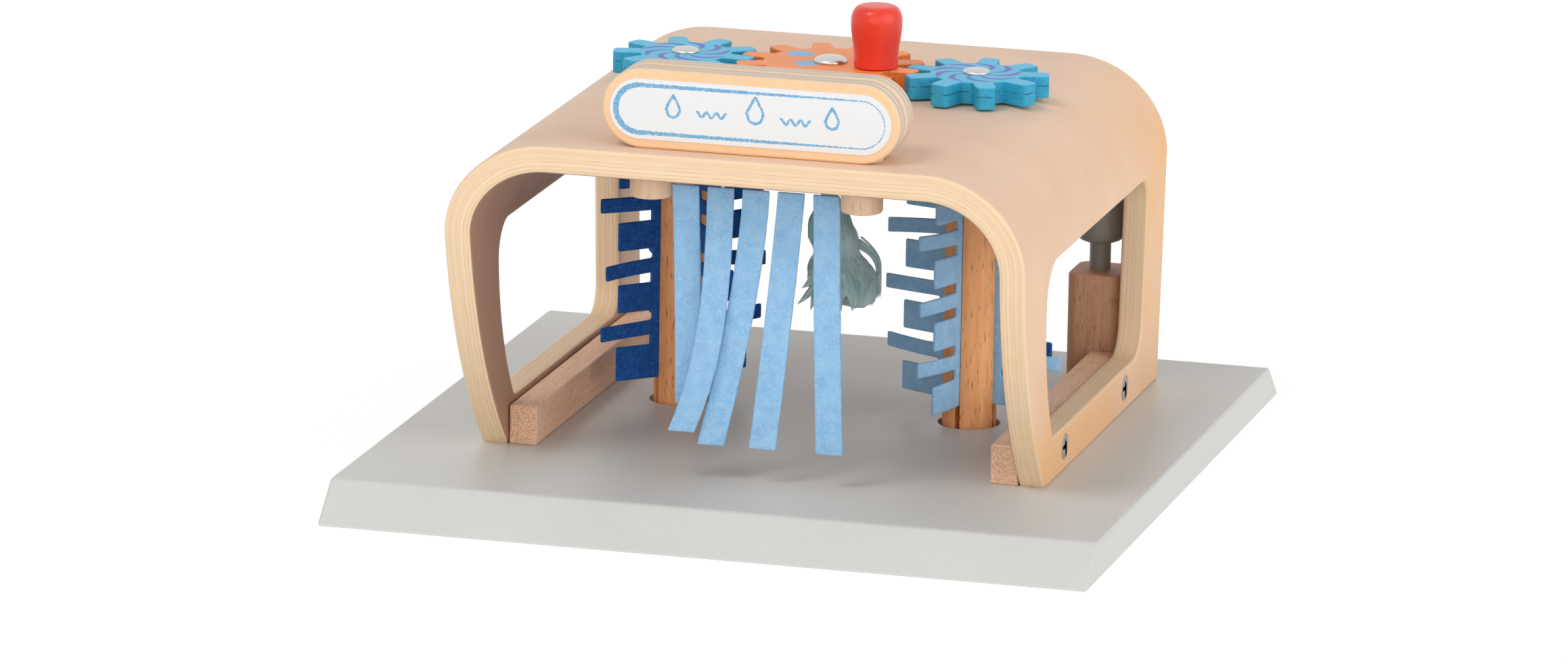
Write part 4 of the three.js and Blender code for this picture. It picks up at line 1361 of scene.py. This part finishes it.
# Caps and washers: a nickelled domed nail holds each gear on its shaft, larger on the crank gear,
# and a thin plastic washer lies under it.
cap_rows = (  # name, place, radius, rise, body and the solid that it stands for
    ("left_nail", -roller_x, 0.0054, 0.0019, "left_brush", "left_cap"),
    ("right_nail", roller_x, 0.0054, 0.0019, "right_brush", "right_cap"),
    ("crank_nail", 0, 0.00655, 0.0028, "crank", "crank_dome"),
)
for name, x, radius, height, body, node in cap_rows:
    cap = turned(name, [
        (radius * 0.94, gear_top),
        (radius * 0.995, gear_top + 0.05 * height),
        *[
            (radius * math.cos(a), gear_top + height * (0.16 + 0.84 * math.sin(a)))
            for a in [math.pi / 2 * i / 12 for i in range(12)]
        ],
        (0, gear_top + height),
    ], (x, gear_row_y), 48)
    fitted(smoothed(cap, 60), nickel, "nickel", body, node)


def refinished(nodes, finish):
    """Puts a finish on solids that stay as they are."""
    for node in nodes:
        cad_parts[node].data.materials.clear()
        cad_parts[node].data.materials.append(finish)


washer_plastic = speckled_finish(
    "washer_plastic", tint(228, 226, 220), 0.45, 1500, relief=0.00002,
    pair=(tint(222, 220, 213), tint(233, 231, 226)))
refinished(("left_washer", "right_washer", "crank_washer"), washer_plastic)

# Knob: turned wood, dipped in glossy red lacquer, loose on a pin in the crank gear.
knob_place = (0.019161, 0.015179)
knob_bottom = gear_top + 0.0003
knob_radius = 0.01005
knob_height = 0.0243
knob_profile_shares = (
    (0.80, 0), (0.85, 0.008), (0.862, 0.035), (0.855, 0.18), (0.872, 0.28), (0.902, 0.37),
    (0.94, 0.47), (0.975, 0.57), (0.995, 0.66), (1.0, 0.73), (0.992, 0.79), (0.965, 0.845),
    (0.92, 0.895), (0.86, 0.935), (0.79, 0.965), (0.70, 0.985), (0.60, 0.994), (0.45, 0.998),
)
knob = turned(
    "red_knob",
    [
        (0, knob_bottom),
        *[(a * knob_radius, knob_bottom + b * knob_height) for a, b in knob_profile_shares],
        (0, knob_bottom + knob_height),
    ],
    knob_place,
)
knob_lacquer = new_finish(
    "knob_lacquer", tint(236, 60, 36), 0.38, coat_weight=0.3, coat_roughness=0.16,
    specular_ior_level=0.3)
knob_tree = knob_lacquer.node_tree
knob_mottle = noise(knob_tree, object_place(knob_tree), 1100, 2)
knob_grain = noise(knob_tree, object_place(knob_tree, (700, 700, 60)), 1, 2)
knob_colour = mixed(knob_tree, knob_grain, tint(240, 62, 38), tint(230, 54, 32))
dress(knob_lacquer, knob_colour, None, knob_mottle, depth=0.00003)
fitted(smoothed(knob, 50), knob_lacquer, "red_lacquer", "knob", "crank_knob")

# Crank axle, collar and knob pin: plain dowels that stay as they are, in pale beech. The batten
# behind the roof's front edge, a plain bar, gets the same finish.
dowel_beech = beech_finish(
    "dowel_beech", tint(240, 206, 174), tint(226, 188, 154), tint(200, 158, 122), (0, 0, 1),
    tint(210, 168, 132))
refinished(("crank_axle", "crank_collar", "knob_pin", "curtain_batten"), dowel_beech)

# Mop: a hank of fine grey-green wool, tied in the axle's end. Its fleece swells into a lopsided drop
# with a curled foot, and loose locks stand off it. It is grown as a felted core under fine hairs.
mop_top = board_thickness + 0.095
mop_length = 0.0555
mop_room = 0.021
mop_turn = camera_azimuth
mop_drops = (0, 0.10, 0.18, 0.24, 0.29, 0.37, 0.45, 0.57, 0.64, 0.71, 0.78, 0.85, 0.92, 0.965, 1)
mop_left_shares = (
    0.10, 0.11, 0.14, 0.20, 0.28, 0.36, 0.35, 0.23, 0.31, 0.34, 0.31, 0.28, 0.24, 0.17, 0)
mop_right_shares = (
    0.10, 0.12, 0.21, 0.32, 0.39, 0.46, 0.56, 0.60, 0.74, 0.865, 0.915, 0.92, 0.90, 0.85, 0)
mop_foot_rise = 0.0022
mop_notches = (
    (0.0077, 0.0019, 0.0068),
    (-0.0020, 0.0030, 0.0030),
    (0.0128, 0.0008, 0.0009),
    (0.0162, 0.0008, 0.0016),
    (-0.0085, 0.0012, 0.0035),
)


def outline_curve(tree, value, shares):
    node = add_node(tree, "ShaderNodeFloatCurve", {"Value": value})
    line = node.mapping.curves[0]
    while len(line.points) < len(shares):
        line.points.new(0.5, 0.5)
    for point, spot in zip(line.points, zip(mop_drops, shares)):
        point.location = spot
    node.mapping.update()
    return Amount(tree, node.outputs[0])


def fleece_place(tree, inputs, drop, angle, fullness):
    """A point of the fleece from how far down it is, the way round and how far out."""
    left = outline_curve(tree, drop, mop_left_shares)
    right = outline_curve(tree, drop, mop_right_shares)
    middle = (right - left) * 0.5
    folds = calc(tree, "SINE", (angle + drop * 2.2) * inputs["Folds"]) * (drop * 0.07)
    half = (right + left) * 0.5 * fullness * (1 + folds)
    across = inputs["Room"] * (middle + half * calc(tree, "COSINE", angle))
    rise = mop_foot_rise
    for notch_x, notch_width, notch_rise in mop_notches:
        offset = (across - notch_x) / notch_width
        rise = calc(tree, "EXPONENT", -(offset * offset)) * notch_rise + rise
    fall = drop * inputs["Length"] - rise * drop ** 9
    outward = inputs["Room"] * (half * (calc(tree, "SINE", angle) * 0.9))
    return vector_of(tree, across, outward, -fall)


core_tree, core_in = new_tree(
    "fleece_core",
    ("Length", "Float", mop_length),
    ("Room", "Float", mop_room),
    ("Folds", "Float", 9.0),
    ("Fullness", "Float", 0.97),
    ("Finish", "Material", None),
)
core_grid = add_node(core_tree, "GeometryNodeMeshGrid", {
    "Size X": 1.0,
    "Size Y": 1.0,
    "Vertices X": 121,
    "Vertices Y": 90,
})
core_at = add_node(core_tree, "GeometryNodeInputPosition").outputs[0]
core_x, core_y, _ = parts_of(core_tree, core_at)
core_angle = (core_x + 0.5) * (2 * math.pi)
core_drop = 0.5 - core_y
core_shape = add_node(core_tree, "GeometryNodeSetPosition", {
    "Geometry": core_grid.outputs[0],
    "Position": fleece_place(core_tree, core_in, core_drop, core_angle, core_in["Fullness"]),
})
core_closed = add_node(core_tree, "GeometryNodeMergeByDistance", {
    "Geometry": core_shape.outputs[0],
    "Distance": merge_gap,
})
tree_end(core_tree, core_closed.outputs[0], core_in["Finish"])


def strand_curves(tree, inputs, path):
    """A numbered copy of the path for each strand, with its number and how far along it is."""
    dots = add_node(tree, "GeometryNodeMeshLine", {"Count": inputs["Strands"], "Offset": (0, 0, 0)})
    copies = add_node(tree, "GeometryNodeInstanceOnPoints", {"Points": dots.outputs[0], "Instance": path})
    numbered = add_node(tree, "GeometryNodeStoreNamedAttribute", {
        "Geometry": copies.outputs[0],
        "Name": "strand",
        "Value": add_node(tree, "GeometryNodeInputIndex").outputs[0],
    }, data_type="FLOAT", domain="INSTANCE")
    curves = add_node(tree, "GeometryNodeRealizeInstances", {0: numbered.outputs[0]})
    number = add_node(tree, "GeometryNodeInputNamedAttribute", {"Name": "strand"}, data_type="FLOAT")
    share = add_node(tree, "GeometryNodeSplineParameter").outputs["Factor"]
    return curves.outputs[0], Amount(tree, number.outputs[0]), Amount(tree, share)


def strand_random(tree, inputs, number, low, high, offset):
    """A random number for each strand, of its own for each offset."""
    node = add_node(tree, "FunctionNodeRandomValue", {
        2: low,
        3: high,
        "ID": number * 7 + offset,
        "Seed": inputs["Seed"],
    }, data_type="FLOAT")
    return Amount(tree, node.outputs[1])


def strand_tubes(tree, inputs, curves, share):
    """Turns the strands into tapered threads, and marks how pale they are."""
    taper = add_node(tree, "ShaderNodeMapRange", {"Value": share, 1: 0.6, 2: 1.0, 3: 1.0, 4: 0.2})
    thread = add_node(tree, "GeometryNodeCurvePrimitiveCircle", {
        "Resolution": 4,
        "Radius": inputs["Thread Radius"],
    })
    tubes = add_node(tree, "GeometryNodeCurveToMesh", {
        "Curve": curves,
        "Profile Curve": thread.outputs[0],
        "Scale": taper.outputs[0],
        "Fill Caps": True,
    })
    toned = add_node(tree, "GeometryNodeStoreNamedAttribute", {
        "Geometry": tubes.outputs[0],
        "Name": "paleness",
        "Value": inputs["Paleness"],
    }, data_type="FLOAT", domain="POINT")
    tree_end(tree, toned.outputs[0], inputs["Finish"])


hair_tree, hair_in = new_tree(
    "fleece_hairs",
    ("Strands", "Int", 520),
    ("Length", "Float", mop_length),
    ("Room", "Float", mop_room),
    ("Folds", "Float", 9.0),
    ("Twist", "Float", 0.5),
    ("Thread Radius", "Float", 0.00016),
    ("Paleness", "Float", 0.35),
    ("Seed", "Int", 4),
    ("Finish", "Material", None),
)
hair_line = add_node(hair_tree, "GeometryNodeCurvePrimitiveLine", {"End": (0, 0, -1)})
hair_path = add_node(hair_tree, "GeometryNodeResampleCurve", {"Curve": hair_line.outputs[0], "Count": 20})
hair_curves, hair_number, hair_share = strand_curves(hair_tree, hair_in, hair_path.outputs[0])
hair_ranges = {
    "start": (0.0, 0.55),
    "end": (0.72, 0.985),
    "side": (0, 2 * math.pi),
    "lean": (-0.9, 0.9),
    "fullness": (0.965, 1.0),
    "flare": (0, 0.075),
}
hair = {
    trait: strand_random(hair_tree, hair_in, hair_number, low, high, offset + 1)
    for offset, (trait, (low, high)) in enumerate(hair_ranges.items())
}
hair_drop = hair["start"] + hair_share * (hair["end"] - hair["start"])
hair_angle = hair["side"] + hair_drop * (hair_in["Twist"] + hair["lean"])
hair_fullness = hair["fullness"] + hair_share ** 3 * hair["flare"]
hair_shape = add_node(hair_tree, "GeometryNodeSetPosition", {
    "Geometry": hair_curves,
    "Position": fleece_place(hair_tree, hair_in, hair_drop, hair_angle, hair_fullness),
})
strand_tubes(hair_tree, hair_in, hair_shape.outputs[0], hair_share)

lock_tree, lock_in = new_tree(
    "loose_lock",
    ("Strands", "Int", 20),
    ("Root", "Vector", (0, 0, 0)),
    ("Bend", "Vector", (0, 0, 0)),
    ("Tip", "Vector", (0, 0, 0)),
    ("Root Spread", "Float", 0.001),
    ("Bend Spread", "Float", 0.001),
    ("Tip Spread", "Float", 0.001),
    ("Thread Radius", "Float", 0.00018),
    ("Paleness", "Float", 1.0),
    ("Seed", "Int", 1),
    ("Finish", "Material", None),
)
lock_path = add_node(lock_tree, "GeometryNodeCurveQuadraticBezier", {
    "Resolution": 18,
    "Start": lock_in["Root"],
    "Middle": lock_in["Bend"],
    "End": lock_in["Tip"],
})
lock_curves, lock_number, lock_share = strand_curves(lock_tree, lock_in, lock_path.outputs[0])
lock_left = 1 - lock_share
lock_spread = lock_left ** 2 * lock_in["Root Spread"] + (
    lock_left * lock_share * 2 * lock_in["Bend Spread"] + lock_share ** 2 * lock_in["Tip Spread"])
lock_offset = vector_of(lock_tree, *[
    lock_spread * strand_random(lock_tree, lock_in, lock_number, -1, 1, axis + 1) for axis in range(3)
])
lock_shape = add_node(lock_tree, "GeometryNodeSetPosition", {
    "Geometry": lock_curves,
    "Offset": lock_offset,
})
strand_tubes(lock_tree, lock_in, lock_shape.outputs[0], lock_share)

yarn = new_finish("yarn", tint(168, 204, 200), 1, sheen_weight=0.5, sheen_roughness=0.5)
yarn_nodes = yarn.node_tree
yarn_streaks = noise(yarn_nodes, object_place(yarn_nodes, (620, 620, 80)), 1, 4, 0.75)
yarn_clouds = noise(yarn_nodes, object_place(yarn_nodes, (130, 130, 75)), 1, 3)
yarn_x, _, yarn_z = parts_of(yarn_nodes, object_place(yarn_nodes))
# Painted shade and light on the wool: darker towards the neck under the roof and on the left beside the
# felt strips, lighter on the right.
yarn_shade_top = mop_top - 0.2 * mop_length
yarn_shade_foot = mop_top - 0.62 * mop_length
yarn_shaded_side_xs = (-0.004, 0.012)
yarn_tone = 0.85 * yarn_streaks + 0.65 * yarn_clouds
yarn_tone += stretched(yarn_nodes, yarn_z, yarn_shade_foot, yarn_shade_top, 0.02, -0.22)
yarn_tone += stretched(yarn_nodes, yarn_x, *yarn_shaded_side_xs, -0.1, 0.06)
yarn_pale = add_node(yarn_nodes, "ShaderNodeAttribute", attribute_name="paleness").outputs["Fac"]
yarn_colour = mixed(
    yarn_nodes,
    stretched(yarn_nodes, yarn_tone, 0.46, 0.86),
    tint(104, 184, 188),
    tint(226, 255, 255),
)
yarn_colour = mixed(
    yarn_nodes, 0.6 * Amount(yarn_nodes, yarn_pale), yarn_colour, tint(222, 250, 254))
dress(yarn, yarn_colour, None, yarn_streaks, depth=0.0004)
lock_rows = (
    (60, (11.0, -1, -27.2), (21.5, -1, -32.4), (20.1, 0, -40.5), 2.4, 0.9, 1.1),
    (26, (20.1, -1, -39.8), (20.4, -1, -44.0), (20.3, 0, -49.0), 1.1, 1.0, 0.8),
    (16, (19.8, -1, -40.0), (19.4, -1, -44.0), (18.2, 0, -47.5), 1.0, 1.0, 0.5),
    (36, (-3.0, -3, -38.6), (-5.8, -4, -42.9), (-9.4, -4, -45.2), 1.6, 1.3, 0.10),
    (44, (-2.6, -3, -42.4), (-6.2, -4, -47.3), (-11.1, -4, -51.7), 1.8, 1.4, 0.10),
    (40, (-3.6, -2, -44.3), (-4.9, -3, -49.8), (-5.9, -3, -53.9), 1.8, 1.4, 0.20),
    (36, (5.3, -6, -43.5), (5.6, -7, -49.2), (5.9, -7, -53.4), 1.3, 1.0, 0.10),
    (36, (9.6, -6, -44.5), (10.0, -7, -49.0), (10.3, -7, -53.4), 1.3, 1.0, 0.10),
)
fleece = [
    grown("fleece_core", core_tree, finish=yarn),
    grown("fleece_hairs", hair_tree, finish=yarn),
]
for number, (count, *path, root_spread, bend_spread, tip_spread) in enumerate(lock_rows):
    root, bend, tip = [[value * millimetre for value in point] for point in path]
    fleece.append(grown(
        f"lock_{number}",
        lock_tree,
        strands=count,
        root=root,
        bend=bend,
        tip=tip,
        root_spread=root_spread * millimetre,
        bend_spread=bend_spread * millimetre,
        tip_spread=tip_spread * millimetre,
        seed=number + 1,
        finish=yarn,
    ))
mop = fleece[0]
mop.name = "wool_mop"
with bpy.context.temp_override(active_object=mop, selected_editable_objects=fleece):
    bpy.ops.object.join()
mop.data.name = "wool_mop"
mop.data.transform(
    Matrix.Translation((0, gear_row_y, mop_top)) @ Matrix.Rotation(mop_turn, 4, "Z"))
mop.data.shade_smooth()
fitted(mop, yarn, "yarn", "crank", "tassel")

# Sign: two stadium boards face to face, their front veneer stained orange, with a card label. The
# label has a chalk border and plain drops over waves.
sign_width = 0.116
sign_height = 0.0306
sign_board = 0.0105
sign_easing = 0.0012
sign_base = roof_z
sign_board_gap = 0.00002
peg_seat = 0.008
peg_bottom = board_thickness + 0.109
peg_end = ((0.0012, 0), (0.0004, 0.0003), (0, 0.0011))  # how far in and how far up its rounding is
peg_play = 0.0003
label_side_margin = 0.0032
label_edge_margin = 0.00375
label_thickness = 0.00035


def stadium(width, height, centre, steps=24):
    half = width / 2 - height / 2
    radius = height / 2
    right_end = arc(centre[0] + half, centre[1], radius, radius, -math.pi / 2, math.pi / 2, steps)
    left_end = arc(centre[0] - half, centre[1], radius, radius, math.pi / 2, 1.5 * math.pi, steps)
    return right_end + left_end


orange_veneer = veneer_finish(
    "orange_veneer", tint(250, 212, 170), tint(242, 196, 148), tint(226, 170, 118))
sign_edge = ply_finish(
    "sign_edge",
    tint(254, 236, 216),
    tint(214, 190, 168),
    tint(120, 94, 76),
    plies=5,
    thickness=sign_board,
    cross_share=0.26,
)
sign_middle = (sign_x, sign_base + sign_height / 2)
for name, from_y, node in (
    ("front_panel", sign_joint_y - sign_board, "sign_front_board"),
    ("back_panel", sign_joint_y + sign_board_gap, "sign_back_board"),
):
    panel = prism(name, stadium(sign_width, sign_height, sign_middle), from_y, from_y + sign_board, "Y")
    eased(panel, sign_easing, 3, 50)
    hole_ends = (sign_base - cut_overrun, sign_base + peg_seat)
    carved(panel, [
        prism("peg_hole", circle(peg_hole_radius, place), *hole_ends, "Z") for place in peg_places
    ])
    smoothed(panel)
    layer = panel.data.attributes.new("sheet", "FLOAT_VECTOR", "POINT")
    for vertex in panel.data.vertices:
        layer.data[vertex.index].vector = (vertex.co.x, vertex.co.z, vertex.co.y - from_y)
    panel.data.materials.clear()
    panel.data.materials.append(orange_veneer)
    panel.data.materials.append(sign_edge)
    for face in panel.data.polygons:
        face.material_index = 0 if abs(face.normal.y) > skin_share else 1
    fitted(panel, None, "plywood", "root", node)
for name, place in zip(("sign_peg_left", "sign_peg_right"), peg_places):
    peg_profile = [(peg_radius - inset, peg_bottom + rise) for inset, rise in peg_end]
    peg_profile.append((peg_radius, roof_z + peg_seat - peg_play))
    peg = turned(f"round_{name}", peg_profile, place)
    fitted(smoothed(peg), dowel_beech, "dowel_wood", "root", name)

label_width = sign_width - 2 * label_side_margin
label_height = sign_height - 2 * label_edge_margin
label_front_y = sign_joint_y - sign_board - label_thickness
label_columns = 300
label_rows = 76
border_inset = 0.0024
border_weights = (
    (0, 0.00120), (0.07, 0.00105), (0.16, 0.00080), (0.55, 0.00060), (0.8, 0.00036), (1, 0.0002))
drop_rows = ((-0.030, 0.0004, 0.0042), (0.002, 0.0008, 0.0050), (0.032, 0.0002, 0.0040))
drop_shares = ((0, 1.35), (0.42, 0.62), (0.66, 0.05), (0.45, -0.5), (0, -0.7),
               (-0.45, -0.5), (-0.66, 0.05), (-0.42, 0.62), (0, 1.35))
drop_weight = 0.00055
wave_places = ((-0.0150, -0.0006), (0.0178, -0.0010))
wave_count = 3
wave_step = 0.0019  # half a wave
wave_rise = 0.0021
wave_steps = 48
wave_weight = 0.00050
chalk_softness = 0.0018


def gap_to_line(point, line):
    best = 1
    for (x0, z0), (x1, z1) in zip(line, line[1:]):
        step_x, step_z = x1 - x0, z1 - z0
        share = ((point[0] - x0) * step_x + (point[1] - z0) * step_z) / (step_x ** 2 + step_z ** 2)
        share = min(max(share, 0), 1)
        best = min(best, math.hypot(point[0] - x0 - share * step_x, point[1] - z0 - share * step_z))
    return best


def weight_along(share):
    """The border's half width, which thins from left to right."""
    for (start, first), (end, last) in zip(border_weights, border_weights[1:]):
        if share <= end:
            return first + (last - first) * (share - start) / (end - start)
    return border_weights[-1][1]


border_line = stadium(
    label_width - 2 * border_inset, label_height - 2 * border_inset, sign_middle, 20)
border_line.append(border_line[0])
middle_x, middle_z = sign_middle
strokes = []
for drop_x, drop_z, size in drop_rows:
    drop = [
        (middle_x + drop_x + across * size, middle_z + drop_z + rise * size)
        for across, rise in drop_shares
    ]
    strokes.append((drop, drop_weight))
for wave_x, wave_z in wave_places:
    turns = [wave_count * 2 * math.pi * i / wave_steps for i in range(wave_steps + 1)]
    wave = [
        (
            middle_x + wave_x + wave_count * 2 * wave_step * (i / wave_steps - 0.5),
            middle_z + wave_z + wave_rise / 2 * math.cos(turn),
        )
        for i, turn in enumerate(turns)
    ]
    strokes.append((wave, wave_weight))
shape = bmesh.new()
label_ends = [math.pi * (i + 0.5) / label_columns for i in range(label_columns)]
grid = []
for turn in label_ends:
    x = -label_width / 2 * math.cos(turn)
    past = max(0, abs(x) - (label_width - label_height) / 2)
    half = math.sqrt(max(0, (label_height / 2) ** 2 - past ** 2))
    levels = [middle_z + half * (2 * j / label_rows - 1) for j in range(label_rows + 1)]
    grid.append([shape.verts.new((middle_x + x, label_front_y, z)) for z in levels])
for near, far in zip(grid, grid[1:]):
    for j in range(label_rows):
        shape.faces.new((near[j], far[j], far[j + 1], near[j + 1]))
front_rim = [column[0] for column in grid] + grid[-1][1:]
front_rim += [column[-1] for column in grid[-2::-1]] + grid[0][-2:0:-1]
rear_rim = [shape.verts.new((v.co.x, v.co.y + label_thickness, v.co.z)) for v in front_rim]
for i in range(len(front_rim)):
    shape.faces.new((front_rim[i - 1], rear_rim[i - 1], rear_rim[i], front_rim[i]))
shape.faces.new(rear_rim)
label = piece_from(shape, "label")
chalk_layer = label.data.attributes.new("chalk", "FLOAT", "POINT")
for vertex in label.data.vertices:
    point = (vertex.co.x, vertex.co.z)
    along = max(0, (vertex.co.x - middle_x) / label_width + 0.5)
    cover = (weight_along(along) - gap_to_line(point, border_line)) / chalk_softness
    for line, weight in strokes:
        cover = max(cover, (weight - gap_to_line(point, line)) / chalk_softness)
    chalk_layer.data[vertex.index].value = min(max(cover + 0.5, 0), 1)
label_card = new_finish("label_card", tint(236, 238, 238), 0.6)
card_tree = label_card.node_tree
card_grain = noise(card_tree, object_place(card_tree), 2600, 3)
chalk_grain = noise(card_tree, object_place(card_tree), 1150, 4, 0.75)
chalk = Amount(
    card_tree, add_node(card_tree, "ShaderNodeAttribute", attribute_name="chalk").outputs["Fac"])
chalk += stretched(card_tree, chalk_grain, 0.3, 0.7, -0.16, 0.12)
chalk = stretched(card_tree, chalk, 0.46, 0.56)
chalk *= stretched(card_tree, chalk_grain, 0.34, 0.5, 0.55, 1)
card_colour = mixed(card_tree, card_grain, tint(231, 232, 232), tint(239, 240, 240))
card_colour = mixed(card_tree, chalk, card_colour, tint(108, 170, 212))
dress(label_card, card_colour, None, card_grain + chalk, depth=0.00003)
fitted(label, label_card, "label_card", "root", "sign_label")

# Curtain: five felt strips that hang behind the roof's front edge from a felt band, which a beech
# batten and two small screws hold.
strip_width = 0.0104
strip_pitch = 0.0138
hinge_z = 0.1293
strip_length = 0.1005
strip_bow = 0.0012
strip_length_shares = (0.85, 0.95, 1, 1, 1)
strip_lean_shares = (0.02, -0.143, -0.163, -0.097, 0.027)
strip_curve_powers = (1, 3.0, 1.5, 1.1, 1)
strip_bow_shares = (-1, 1.2, 0.1, -0.5, 0.8)
strip_tilts = (1.5, -1.5, 0, 0, 0)
strip_raggedness = 0.0007
strip_ripple = 0.0006
felt_rounding = 0.0004
strip_tree, strip_in = new_tree(
    "felt_strip",
    ("Width", "Float", strip_width),
    ("Length", "Float", strip_length),
    ("Lean", "Float", 0.0),
    ("Curve", "Float", 1.0),
    ("Bow", "Float", 0.0),
    ("Tilt", "Float", 0.0),
    ("Seed", "Float", 0.0),
    ("Finish", "Material", None),
)
ribbon = add_node(strip_tree, "GeometryNodeMeshGrid", {
    "Size X": 1.0,
    "Size Y": 1.0,
    "Vertices X": 9,
    "Vertices Y": 72,
})
ribbon_at = add_node(strip_tree, "GeometryNodeInputPosition").outputs[0]
ribbon_x, ribbon_y, _ = parts_of(strip_tree, ribbon_at)
strip_share = ribbon_y + 0.5
ragged_place = vector_of(strip_tree, ribbon_x * 1.5, strip_share * 16, strip_in["Seed"])
ragged = noise(strip_tree, ragged_place, 1, 2) - 0.5
strip_hung = add_node(strip_tree, "GeometryNodeSetPosition", {
    "Geometry": ribbon.outputs[0],
    "Position": vector_of(
        strip_tree,
        strip_in["Lean"] * strip_share ** strip_in["Curve"]
        + ribbon_x * (strip_in["Width"] + ragged * strip_raggedness),
        calc(strip_tree, "SINE", strip_share * math.pi) * -strip_in["Bow"]
        + ragged * (strip_share * strip_ripple),
        -(strip_share * strip_in["Length"]),
    ),
})
strip_turned = add_node(strip_tree, "GeometryNodeTransform", {
    "Geometry": strip_hung.outputs[0],
    "Rotation": vector_of(strip_tree, strip_in["Tilt"]),
})
tree_end(strip_tree, strip_turned.outputs[0], strip_in["Finish"])

for number in range(5):
    length = strip_length * strip_length_shares[number]
    strip = grown(
        f"felt_strip_{number + 1}",
        strip_tree,
        length=length,
        lean=strip_lean_shares[number] * length,
        curve=float(strip_curve_powers[number]),
        bow=strip_bow * strip_bow_shares[number],
        tilt=math.radians(strip_tilts[number]),
        seed=3.7 * number,
        finish=pale_felt,
    )
    give_thickness(strip)
    rounded = strip.modifiers.new("round", "BEVEL")
    rounded.width = felt_rounding
    rounded.segments = 2
    rounded.angle_limit = math.radians(50)
    made_plain(strip)
    hinge_x = sign_x + strip_pitch * (number - 2)
    strip.data.transform(Matrix.Translation((hinge_x, sign_joint_y, hinge_z)))
    strip.data.shade_smooth()
    fitted(strip, pale_felt, "pale_felt", f"strip_{number + 1}", f"curtain_strip_{number + 1}")

band_width = 0.0656
band_bottom = hinge_z + 0.0009
band_top = roof_z - ply_thickness
band = prism(
    "curtain_band",
    rectangle(sign_x - band_width / 2, sign_x + band_width / 2, band_bottom, band_top),
    sign_joint_y - felt_thickness / 2,
    sign_joint_y + felt_thickness / 2,
    "Y",
)
eased(band, felt_rounding, 2)
fitted(smoothed(band), pale_felt, "pale_felt", "root", "curtain_header")
batten_screw_reach = 0.0238
batten_screw_y = -0.09735
batten_screw_z = 0.1298
batten_screw_head = 0.0056
batten_screw_shank = 0.0026
batten_screw_length = 0.0112
batten_places = [
    (sign_x + side * batten_screw_reach, batten_screw_y, batten_screw_z) for side in (-1, 1)
]
batten_screws = grown(
    "batten_screws",
    screw_tree,
    points_mesh("batten_screw_places", batten_places, [(math.pi, 0, 0)] * 2),
    head_diameter=batten_screw_head,
    shank_diameter=batten_screw_shank,
    length=batten_screw_length,
    finish=screw_nickel,
)
fitted(
    smoothed(batten_screws, 30), screw_nickel, "nickel", "root", "batten_screw_1", "batten_screw_2")
